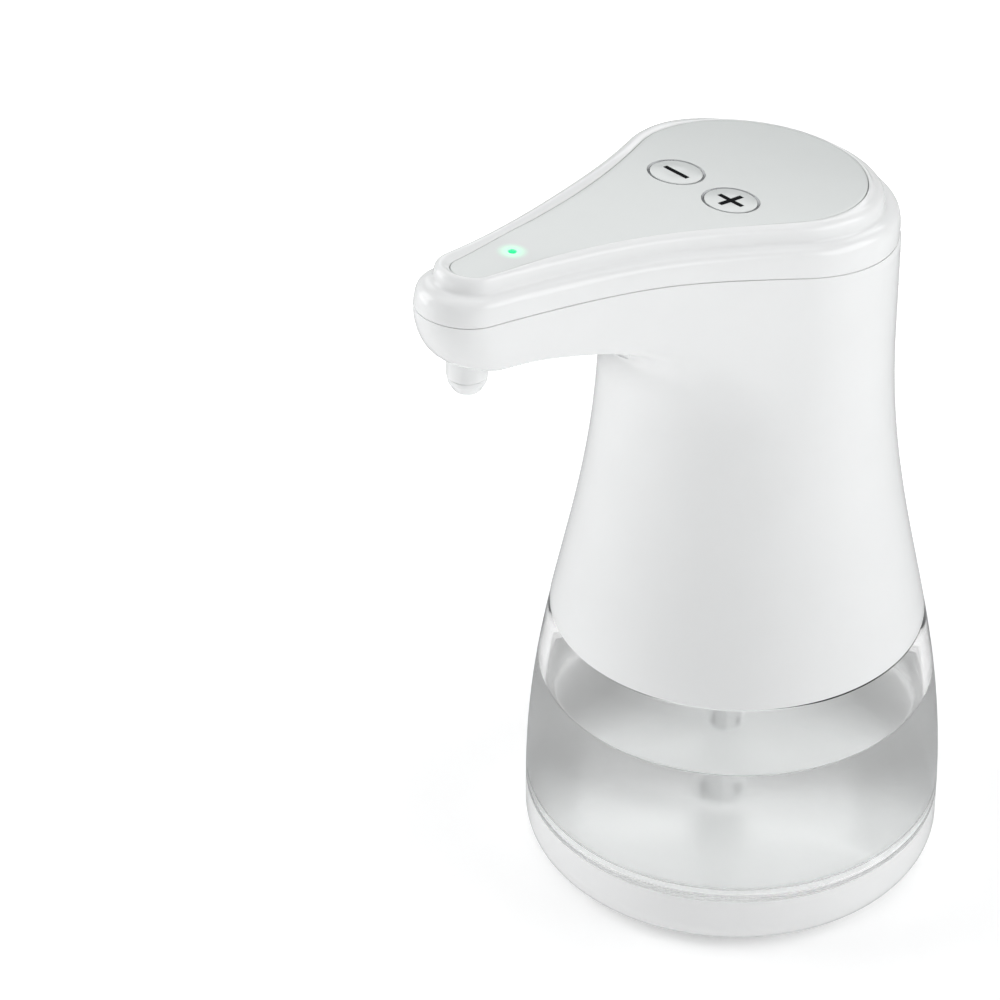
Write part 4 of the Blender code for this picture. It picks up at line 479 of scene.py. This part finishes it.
def across(start, count):
    """Faces that join each point of a ring to its mirror image, so that the cap can bend along its length."""
    faces = []
    for i in range(count // 2):
        corners = (i, i + 1, count - i - 1, (count - i) % count)
        faces.append([start + c for c in dict.fromkeys(corners)])
    return faces


def loft(name, rings, closed=False, cap_first=False, cap_last=False, sharp=SHARP, bent=False):
    """A skin through rings of equal count, with its ends capped on request."""
    count = len(rings[0])
    faces = strips(len(rings), count, closed)
    ends = [0] * cap_first + [(len(rings) - 1) * count] * cap_last
    for start in ends:
        faces += across(start, count) if bent else [list(range(start, start + count))]
    return mesh_object(name, np.concatenate(rings), faces, sharp)


def turned(name, profile, at=(0, 0), steps=TURN_STEPS, sharp=SHARP, frame=None):
    """Turns a profile of (radius, height) round Z. Ends on the axis close it; otherwise the profile closes itself."""
    profile = np.array(profile, float)
    on_axis = profile[0][0] == 0
    body = profile[1:-1] if on_axis else profile
    angles = np.arange(steps) * math.tau / steps
    rings = [circle(r, z, angles, at) for r, z in body]
    points = np.concatenate(rings)
    faces = strips(len(rings), steps, closed=not on_axis)
    if on_axis:
        first, last = len(points), len(points) + 1
        points = np.vstack([points, [at[0], at[1], profile[0][1]], [at[0], at[1], profile[-1][1]]])
        end = (len(rings) - 1) * steps
        for i in range(steps):
            j = (i + 1) % steps
            faces.append((first, i, j))
            faces.append((last, end + j, end + i))
    if frame is not None:
        points = frame(points)
    return mesh_object(name, points, faces, sharp)


def block(name, rows):
    """A bent block from four parallel edge lines."""
    n = len(rows[0])
    faces = strips(len(rows), n, closed=True, ends_open=True)
    faces.append((0, n, 2 * n, 3 * n))
    faces.append((n - 1, 2 * n - 1, 3 * n - 1, 4 * n - 1))
    return mesh_object(name, np.concatenate(rows), faces)


def boolean(made, other, operation):
    step = made.modifiers.new(operation.lower(), "BOOLEAN")
    step.operation = operation
    step.object = other
    step.solver = "EXACT"


def applied(made, sharp=SHARP):
    """Bakes an object's modifiers into its mesh."""
    graph = bpy.context.evaluated_depsgraph_get()
    mesh = bpy.data.meshes.new_from_object(made.evaluated_get(graph))
    made.modifiers.clear()
    made.data = mesh
    smooth(made, sharp)
    return made


def drop(*objects):
    for item in objects:
        bpy.data.objects.remove(item, do_unlink=True)


def flip_outwards(made):
    """An open skin: its normals point away from the axis."""
    mesh = made.data
    total = sum((p.normal.x * p.center.x + p.normal.y * p.center.y) * p.area for p in mesh.polygons)
    if total < 0:
        mesh.flip_normals()


def relaxed(rings, neck):
    """Evens out the rings where the chin runs into the arch, first on the sides, then all round, up to the neck."""
    index = np.arange(len(rings))
    strength = (0, RELAX_SHARE, RELAX_SHARE, 0)
    late = np.interp(index, (*RELAX_ALL_RINGS, neck, neck + RELAX_BEYOND), strength)[:, None]
    early = np.interp(index, (*RELAX_SIDE_RINGS, neck, neck + RELAX_BEYOND), strength)[:, None]
    for _ in range(RELAX_PASSES):
        near = (np.roll(rings, 1, 0) + np.roll(rings, -1, 0) + np.roll(rings, 1, 1) + np.roll(rings, -1, 1)) / 4
        ahead = eased((RELAX_Y - rings[:, :, 1]) / RELAX_FADE)
        side = eased((abs(rings[:, :, 0]) - RELAX_X) / RELAX_SIDE)
        share = np.maximum(late, early * side) * ahead
        rings = rings + share[:, :, None] * (near - rings)
    return rings


def shell_rings():
    """The shell's outside from the parting line down to the tank, ring by ring."""
    top = head_ring(COVER_OUT, PARTING + SLIT)
    rear, front = top[0][2], top[HALF][2]
    chin, arch = underside()
    rings = [top]
    path = [bez(chin, t) for t in np.linspace(0, 1, CHIN_RINGS + 1)[1:]]
    path += [bez(arch, t) for t in np.linspace(0, 1, ARCH_RINGS + 1)[1:]]
    for y, z in path:
        ring = spout_ring(y, z, rear, front)
        ring[:, 2] += chin_shift(ring[:, 1], ring[:, 2])
        rings.append(ring)
    last = rings[-1]
    arm = len(rings)
    for z in np.linspace(UNDERSIDE_Z, SHELL_LOW, NECK_RINGS + 1)[1:]:
        scale = body_radius(z) / body_radius(UNDERSIDE_Z)
        rings.append(np.column_stack([last[:, :2] * scale, np.full(len(last), z)]))
    return relaxed(np.array(rings), arm)


def shell_skin():
    """Neck and lower half of the spout in one moulding, with its wall and the nozzle's hole."""
    made = loft("shell_skin", shell_rings())
    flip_outwards(made)
    wall = made.modifiers.new("wall", "SOLIDIFY")
    wall.thickness = SHELL_WALL * MM
    wall.offset = -1
    edge = made.modifiers.new("edge", "BEVEL")
    edge.width = SHELL_EDGE * MM
    edge.segments = SHELL_EDGE_STEPS
    edge.limit_method = "ANGLE"
    edge.angle_limit = SHELL_EDGE_ANGLE
    hole = turned("hole", NOZZLE_HOLE, at=(0, NOZZLE_Y), steps=HOLE_STEPS)
    boolean(made, hole, "DIFFERENCE")
    applied(made)
    drop(hole)
    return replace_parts(made, "main_shell")


def window_frame():
    """Height and slope of the underside at the sensor's window."""
    _, arch = underside()
    s = bisect(lambda t: bez(arch, t)[0], SENSOR_Y, 0, 1)
    a, b = bez(arch, s - SLOPE_STEP), bez(arch, s + SLOPE_STEP)
    low, high = a[1] + chin_shift(*a), b[1] + chin_shift(*b)
    return (low + high) / 2, math.atan2(high - low, b[0] - a[0])


def window_skin(shell):
    """The sensor's window: a thin oval pane that lies a hair proud on the shell and follows its underside."""
    z, slope = window_frame()
    along = np.array((0, math.cos(slope), math.sin(slope)))
    inward = np.array((0, -math.sin(slope), math.cos(slope)))
    tree = BVHTree.FromPolygons([v.co for v in shell.data.vertices], [p.vertices for p in shell.data.polygons])
    angles = np.arange(WINDOW_STEPS) * math.tau / WINDOW_STEPS
    faces = []
    for share in WINDOW_SHARES:
        ring = []
        for a in angles:
            start = np.array((0, SENSOR_Y, z)) + along * (WINDOW_Y * share * math.sin(a)) - inward * WINDOW_REACH
            start[0] += WINDOW_X * share * math.cos(a)
            hit = tree.ray_cast(Vector(start * MM), Vector(inward))[0]
            ring.append(np.array(hit) / MM)
        faces.append(np.array(ring))
    outer = [ring - inward * (WINDOW_PROUD if ring is not faces[-1] else 0) for ring in faces]
    inner = [ring + inward * WINDOW_DEEP for ring in faces[::-1]]
    made = loft("window_skin", outer + inner, cap_first=True, cap_last=True, sharp=SHARP_HEAD)
    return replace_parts(made, "ir_window")


def cover_skin():
    """The head's cover, with two rounded steps round the panel."""
    rings = [head_ring(offset, depth) for offset, depth in smooth_line(COVER_LINE, COVER_STEPS)]
    rings += [head_ring(offset, depth) for offset, depth in COVER_INSIDE]
    made = loft("cover_skin", rings, closed=True, sharp=SHARP_HEAD)
    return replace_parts(made, "top_cover")


def panel_skin():
    """The inset panel, with the wells of the buttons and the light."""
    rings = [panel_ring(offset, depth) for offset, depth in rounded(PANEL_LINE, PANEL_ROUND)]
    made = loft("panel_skin", rings, cap_first=True, cap_last=True, sharp=SHARP_HEAD, bent=True)
    wells = []
    for side in (-1, 1):
        wells.append(turned("ring", BUTTON_WELL, at=(side * BUTTON_X, BUTTON_Y), frame=from_head))
    wells.append(turned("eye", LIGHT_WELL, at=(0, LIGHT_Y), steps=LIGHT_STEPS, frame=from_head))
    for well in wells:
        boolean(made, well, "DIFFERENCE")
    applied(made, SHARP_PANEL)
    drop(*wells)
    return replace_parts(made, "top_panel")


def sign(name, at):
    """The printed sign: one bar, or two crossed ones, a hair proud of the button."""
    half, stroke = SIGN_HALF, SIGN_STROKE
    outline = [(-half, -stroke), (half, -stroke), (half, stroke), (-half, stroke)]
    if name == "plus":
        outline = [(-half, -stroke), (-stroke, -stroke), (-stroke, -half), (stroke, -half), (stroke, -stroke),
                   (half, -stroke), (half, stroke), (stroke, stroke), (stroke, half), (-stroke, half),
                   (-stroke, stroke), (-half, stroke)]
    rings = [from_head([(x + at[0], y + at[1], z) for x, y in outline]) for z in (SIGN_LOW, SIGN_HIGH)]
    made = loft(f"{name}_sign", rings, cap_first=True, cap_last=True)
    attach(made, f"{name}_button")
    return made


def button_pieces():
    """Both buttons with their rings and signs, each piece with the name of its look."""
    made = []
    for name, side in (("minus", -1), ("plus", 1)):
        at = (side * BUTTON_X, BUTTON_Y)
        cap = turned(f"{name}_cap", rounded(CAP_LINE, BUTTON_ROUND), at=at, frame=from_head)
        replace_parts(cap, f"{name}_button")
        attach(cap, f"{name}_button")
        ring = turned(f"{name}_bezel", rounded_closed(BEZEL_LINE, BUTTON_ROUND), at=at, frame=from_head)
        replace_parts(ring, f"{name}_button_ring")
        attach(ring, "head")
        made += [(cap, "panel_grey"), (ring, "ring_grey"), (sign(name, at), "ink")]
    return made


def led_eye():
    """The status light's lens, let into the panel where it dips."""
    sunk = tip_dip(LIGHT_Y)
    profile = [(r, z - sunk) for r, z in LENS_LINE]
    made = turned("led_eye", profile, at=(0, LIGHT_Y), steps=LIGHT_STEPS, frame=from_head)
    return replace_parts(made, "led_lens")


def nozzle_pieces():
    collar = turned("nozzle_sleeve", rounded(SLEEVE_LINE, SLEEVE_ROUND), at=(0, NOZZLE_Y))
    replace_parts(collar, "nozzle_collar")
    tip = turned("nozzle_mouth", rounded_closed(MOUTH_LINE), at=(0, NOZZLE_Y))
    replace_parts(tip, "nozzle_tip")
    return [collar, tip]


def tank_inside(top, steps, into=0.0):
    """The tank's inside, from the middle of its floor up to a height; into moves it out, into the wall."""
    low = BED_Z + TANK_CORNER - into
    side = [(body_radius(z) - TANK_WALL + into, z) for z in np.linspace(low, top, steps)]
    corner = arc(side[0][0] - TANK_CORNER, low, TANK_CORNER, -math.pi / 2, 0, CORNER_STEPS)
    return [(0, BED_Z - into)] + corner + side[1:]


def tank_glass():
    """The clear tank with its collar and the bayonet's lugs."""
    outer = [(body_radius(z), z) for z in np.linspace(TANK_TOP, TANK_LOW, TANK_OUTER_STEPS)]
    rim = outer[0][0]
    profile = tank_inside(TANK_CEILING, TANK_INNER_STEPS)
    collar = [(profile[-1][0], TANK_CEILING), (COLLAR_IN, TANK_CEILING, MOUTH_ROUND), (COLLAR_IN, COLLAR_TOP),
              (COLLAR_R, COLLAR_TOP), (COLLAR_R, TANK_TOP, NECK_ROUND), (rim, TANK_TOP)]
    profile += rounded(collar, COLLAR_ROUND)[1:-1]
    profile += [(rim - inwards, z) for inwards, z in TANK_RIM] + outer[1:]
    profile += [(body_radius(TANK_HEEL_Z) - TANK_HEEL_IN, TANK_HEEL_LOW), *TANK_UNDER]
    made = turned("tank_glass", profile, steps=TANK_STEPS)
    lugs = []
    for i in range(LUG_COUNT):
        angles = np.radians(np.linspace(-LUG_HALF, LUG_HALF, LUG_POINTS) + LUG_START + 360 / LUG_COUNT * i)
        lugs.append(block(f"lug_{i}", [circle(radius, z, angles) for z, radius in LUG_LINE]))
    for lug in lugs:
        boolean(made, lug, "UNION")
    applied(made)
    drop(*lugs)
    made.visible_shadow = False
    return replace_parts(made, "soap_tank")


def liquid_soap():
    """The soap: a hair into the tank's wall, so that no air film shows, with a meniscus at its rim."""
    profile = tank_inside(LIQUID_Z + SOAP_CLIMB, SOAP_STEPS, SOAP_INTO)
    rim = profile[-1][0]
    profile += [(rim - inwards, LIQUID_Z + above) for inwards, above in MENISCUS] + [(0, LIQUID_Z)]
    made = turned("liquid_soap", profile, steps=TANK_STEPS, sharp=SHARP_SOAP)
    made.visible_shadow = False
    return made


def foot_smooth():
    """The foot, with the well for the tank's floor above and the pad's recess below."""
    outer = arc(TANK_R - FOOT_EDGE, FOOT_LOW + FOOT_EDGE, FOOT_EDGE, 0, -math.pi / 2, FOOT_EDGE_STEPS)
    rim = [(0, FOOT_WELL_Z), (FOOT_WELL_R, FOOT_WELL_Z), (FOOT_WELL_R, FOOT_TOP), (TANK_R, FOOT_TOP, RIM_ROUND),
           outer[0]]
    recess = [outer[-1], (PAD_R, FOOT_LOW, FOOT_ROUND), (PAD_R, PAD_Z), (0, PAD_Z)]
    profile = [(0, FOOT_WELL_Z)] + rounded(rim, FOOT_ROUND)[1:-1] + outer + rounded(recess, PAD_ROUND)[1:]
    made = turned("foot_smooth", profile, steps=TANK_STEPS)
    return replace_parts(made, "base_foot")


def soap_bed():
    """The foot's white face under the tank, in optical contact with its floor."""
    return turned("soap_bed", BED_LINE, steps=TANK_STEPS)


def mapped(tree, source, span, values, kind="LINEAR"):
    """A socket that runs from the first value to the last while the source runs over its span."""
    node = tree.nodes.new("ShaderNodeMapRange")
    node.interpolation_type = kind
    node.inputs["From Min"].default_value, node.inputs["From Max"].default_value = span
    node.inputs["To Min"].default_value, node.inputs["To Max"].default_value = values
    tree.links.new(source, node.inputs["Value"])
    return node.outputs["Result"]


def distance_from(tree, centre):
    """A socket with each point's distance from a place, in metres."""
    place = tree.nodes.new("ShaderNodeTexCoord")
    away = tree.nodes.new("ShaderNodeVectorMath")
    away.operation = "DISTANCE"
    away.inputs[1].default_value = centre
    tree.links.new(place.outputs["Object"], away.inputs[0])
    return away.outputs["Value"]


def look(name, base, rough, *, metal=0.0, transmission=0.0, ior=1.46, vary=0.03, scale=60.0, bump=0.0,
         bump_scale=400.0, emission=None, strength=0.0, rough_vary=0.04, subsurface=0.0):
    """A Principled material with slight cloudiness of colour and roughness, and a fine moulded or brushed bump."""
    made = bpy.data.materials.new(name)
    made.use_nodes = True
    tree = made.node_tree
    shader = tree.nodes["Principled BSDF"]
    place = tree.nodes.new("ShaderNodeTexCoord")
    cloud = tree.nodes.new("ShaderNodeTexNoise")
    cloud.inputs["Scale"].default_value = scale
    cloud.inputs["Detail"].default_value = CLOUD_DETAIL
    tree.links.new(place.outputs["Object"], cloud.inputs["Vector"])
    ramp = tree.nodes.new("ShaderNodeValToRGB")
    tones = [c * (1 - vary) for c in base], [min(c * (1 + vary), 1.0) for c in base]
    for element, position, tone in zip(ramp.color_ramp.elements, CLOUD_RAMP, tones):
        element.position = position
        element.color = (*tone, 1)
    tree.links.new(cloud.outputs["Fac"], ramp.inputs["Fac"])
    tree.links.new(ramp.outputs["Color"], shader.inputs["Base Color"])
    spread = mapped(tree, cloud.outputs["Fac"], (0, 1), (max(rough - rough_vary, 0.0), rough + rough_vary))
    tree.links.new(spread, shader.inputs["Roughness"])
    shader.inputs["Metallic"].default_value = metal
    shader.inputs["Transmission Weight"].default_value = transmission
    shader.inputs["IOR"].default_value = ior
    shader.inputs["Subsurface Weight"].default_value = subsurface
    if bump:
        grain = tree.nodes.new("ShaderNodeTexNoise")
        grain.inputs["Scale"].default_value = bump_scale
        tree.links.new(place.outputs["Object"], grain.inputs["Vector"])
        raised = tree.nodes.new("ShaderNodeBump")
        raised.inputs["Strength"].default_value = bump
        raised.inputs["Distance"].default_value = BUMP_DISTANCE
        tree.links.new(grain.outputs["Fac"], raised.inputs["Height"])
        tree.links.new(raised.outputs["Normal"], shader.inputs["Normal"])
    if emission:
        shader.inputs["Emission Color"].default_value = (*emission, 1)
        shader.inputs["Emission Strength"].default_value = strength
    return made


def painted_light_bed_look():
    """White with painted light towards the front, standing in for light that the clear soap gathers there, and painted
    shade that darkens it towards the rear.
    """
    made = look("bed_white_painted_light_and_shade", (0.95, 0.955, 0.955), 0.4, vary=0.003)
    tree = made.node_tree
    shader = tree.nodes["Principled BSDF"]
    away = distance_from(tree, tuple(TOWARD * BED_FRONT))
    # Painted shade: the white darkens away from the front
    painted_shade = tree.nodes.new("ShaderNodeHueSaturation")
    tree.links.new(shader.inputs["Base Color"].links[0].from_socket, painted_shade.inputs["Color"])
    tree.links.new(mapped(tree, away, BED_FADE, BED_PAINTED_SHADE, "SMOOTHSTEP"), painted_shade.inputs["Value"])
    tree.links.new(painted_shade.outputs["Color"], shader.inputs["Base Color"])
    # Painted light: a glow in the emission towards the front
    tree.links.new(mapped(tree, away, BED_FADE, BED_PAINTED_LIGHT, "SMOOTHSTEP"), shader.inputs["Emission Strength"])
    shader.inputs["Emission Color"].default_value = BED_PAINTED_LIGHT_TINT
    return made


def panel_look():
    """The panel's satin grey, with the status light's glow spreading in it."""
    made = look("panel_satin", (0.685, 0.708, 0.700), 0.10, vary=0.008, bump=0.01, bump_scale=900, rough_vary=0.01)
    tree = made.node_tree
    shader = tree.nodes["Principled BSDF"]
    centre = from_head((0, LIGHT_Y, -tip_dip(LIGHT_Y)))[0] * MM
    glow = mapped(tree, distance_from(tree, tuple(centre)), LIGHT_FADE, LIGHT_GLOW, "SMOOTHERSTEP")
    shader.inputs["Emission Color"].default_value = LIGHT_TINT
    tree.links.new(glow, shader.inputs["Emission Strength"])
    return made


def looks():
    """Every material by its slot's name, and the last five by names of their own."""
    return {
        "white_gloss": look("white_moulding", (0.86, 0.868, 0.868), 0.09, vary=0.008, bump=0.03, bump_scale=700,
                            rough_vary=0.02),
        "panel_grey": panel_look(),
        "clear_plastic": look("clear_moulding", (0.996, 0.998, 0.998), 0.01, transmission=1.0, ior=1.49, vary=0.002,
                              rough_vary=0.008),
        "smoked_window": look("smoked_window", (0.30, 0.31, 0.31), 0.08, vary=0.03),
        "light_green": look("green_light", (0.01, 0.30, 0.12), 0.2, emission=(0.0, 0.80, 0.26), strength=0.9),
        "ring_grey": look("satin_ring", (0.40, 0.41, 0.42), 0.28, metal=1.0, vary=0.05, scale=300),
        "inner_plastic": look("inner_moulding", (0.78, 0.78, 0.76), 0.45, bump=0.15, bump_scale=900),
        "pump_plastic": look("pump_moulding", (0.85, 0.85, 0.82), 0.35, bump=0.1, bump_scale=900),
        "gear_plastic": look("gear_moulding", (0.88, 0.86, 0.78), 0.33, bump=0.1, bump_scale=900),
        "steel": look("machined_steel", (0.60, 0.61, 0.62), 0.25, metal=1.0, vary=0.08, scale=500, bump=0.1,
                      bump_scale=1200),
        "motor_metal": look("motor_can_metal", (0.62, 0.63, 0.64), 0.3, metal=1.0, vary=0.06, scale=200, bump=0.1,
                            bump_scale=1000),
        "contact_metal": look("nickel_contact", (0.75, 0.74, 0.70), 0.3, metal=1.0, vary=0.08, scale=500),
        "cell_wrap": look("cell_wrap", (0.16, 0.17, 0.18), 0.3, vary=0.15, scale=80),
        "board_green": look("board_laminate", (0.05, 0.28, 0.14), 0.35, vary=0.2, scale=700, bump=0.2,
                            bump_scale=1500),
        "black_plastic": look("black_moulding", (0.03, 0.03, 0.03), 0.4, vary=0.2, bump=0.15, bump_scale=900),
        "silicone": look("silicone", (0.80, 0.80, 0.78), 0.5, subsurface=0.2, bump=0.1, bump_scale=600),
        "rubber_grey": look("grey_rubber", (0.20, 0.205, 0.21), 0.75, vary=0.1, bump=0.4, bump_scale=800),
        "soap": look("clear_soap", (0.99, 0.996, 0.994), 0.22, transmission=1.0, ior=1.36, vary=0.004,
                     rough_vary=0.01),
        "ink": look("printed_ink", (0.006, 0.007, 0.008), 0.5, ior=1.08, vary=0.1),
        "tube": look("milky_tube", (0.90, 0.91, 0.91), 0.4, vary=0.01),
        "foot_white": look("foot_moulding", (0.93, 0.935, 0.935), 0.13, vary=0.008, bump=0.03, bump_scale=700,
                           rough_vary=0.02),
        # The bed's white, with painted light and painted shade
        "bed": painted_light_bed_look(),
    }


def paint(made, material):
    made.data.materials.clear()
    made.data.materials.append(material)


def camera():
    data = bpy.data.cameras.new("camera")
    data.sensor_width = SENSOR_WIDTH
    data.lens = LENS
    data.clip_start, data.clip_end = CLIP
    made = bpy.data.objects.new("camera", data)
    bpy.context.scene.collection.objects.link(made)
    made.location = CAMERA_AT
    forward = -TOWARD * math.cos(PITCH) - Vector((0, 0, math.sin(PITCH)))
    made.rotation_mode = "QUATERNION"
    made.rotation_quaternion = forward.to_track_quat("-Z", "Y")
    bpy.context.scene.camera = made


def softbox(name, angle_deg, distance, height, size, power):
    """A soft light round the object. Angle 0 is the camera's side, positive to its right."""
    data = bpy.data.lights.new(name, "AREA")
    data.shape = "RECTANGLE"
    data.size, data.size_y = size
    data.energy = power
    made = bpy.data.objects.new(name, data)
    bpy.context.scene.collection.objects.link(made)
    a = math.radians(angle_deg)
    at = TOWARD * math.cos(a) * distance + RIGHT * math.sin(a) * distance
    made.location = (at.x, at.y, height)
    made.rotation_mode = "QUATERNION"
    made.rotation_quaternion = (Vector((0, 0, AIM_Z)) - made.location).to_track_quat("-Z", "Y")
    made.visible_camera = False


def floor():
    """A pale floor that glows faintly, more so far out, as a lit table does."""
    mesh = bpy.data.meshes.new("floor")
    corners = [(x * FLOOR_HALF, y * FLOOR_HALF, 0) for x, y in ((-1, -1), (1, -1), (1, 1), (-1, 1))]
    mesh.from_pydata(corners, [], [(0, 1, 2, 3)])
    made = bpy.data.objects.new("floor", mesh)
    bpy.context.scene.collection.objects.link(made)
    white = look("floor_white", (0.97, 0.97, 0.97), 0.6, vary=0.003, scale=3, emission=(1, 1, 1))
    tree = white.node_tree
    glow = mapped(tree, distance_from(tree, (0, 0, 0)), FLOOR_FADE, FLOOR_GLOW)
    tree.links.new(glow, tree.nodes["Principled BSDF"].inputs["Emission Strength"])
    paint(made, white)
    made.visible_glossy = False


def world():
    """Even light from all round, weaker from above."""
    made = bpy.data.worlds.new("studio")
    bpy.context.scene.world = made
    made.use_nodes = True
    tree = made.node_tree
    back = tree.nodes["Background"]
    place = tree.nodes.new("ShaderNodeTexCoord")
    split = tree.nodes.new("ShaderNodeSeparateXYZ")
    tree.links.new(place.outputs["Generated"], split.inputs["Vector"])
    tree.links.new(mapped(tree, split.outputs["Z"], SKY_FADE, SKY_GLOW), back.inputs["Strength"])
    back.inputs["Color"].default_value = SKY_TINT


def studio():
    world()
    floor()
    for light in LIGHTS:
        softbox(*light)
    scene = bpy.context.scene
    scene.view_settings.view_transform = "Standard"
    scene.view_settings.look = "None"


def main():
    """Dresses the frame: every solid gets its look, and smooth pieces take the place of those that are seen."""
    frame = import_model()
    materials = looks()
    for node in frame["nodes"].values():
        named = node.data.materials[0].name.split(".")[0] if node.data.materials else "inner_plastic"
        paint(node, materials.get(named, materials["inner_plastic"]))
    for name in ("suction_tube", "inlet_strainer"):
        paint(frame["nodes"][name], materials["tube"])
    shell = shell_skin()
    for made in (shell, cover_skin(), *nozzle_pieces()):
        paint(made, materials["white_gloss"])
        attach(made, "head")
    window = window_skin(shell)
    paint(window, materials["smoked_window"])
    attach(window, "head")
    panel = panel_skin()
    paint(panel, materials["panel_grey"])
    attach(panel, "head")
    for made, kind in button_pieces():
        paint(made, materials[kind])
    eye = led_eye()
    paint(eye, materials["light_green"])
    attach(eye, "head")
    tank = tank_glass()
    paint(tank, materials["clear_plastic"])
    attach(tank, "reservoir")
    soap = liquid_soap()
    paint(soap, materials["soap"])
    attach(soap, "reservoir")
    foot = foot_smooth()
    paint(foot, materials["foot_white"])
    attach(foot, "reservoir")
    # The white face under the tank, whose look has painted light and painted shade
    bed = soap_bed()
    paint(bed, materials["bed"])
    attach(bed, "reservoir")
    camera()
    studio()


main()
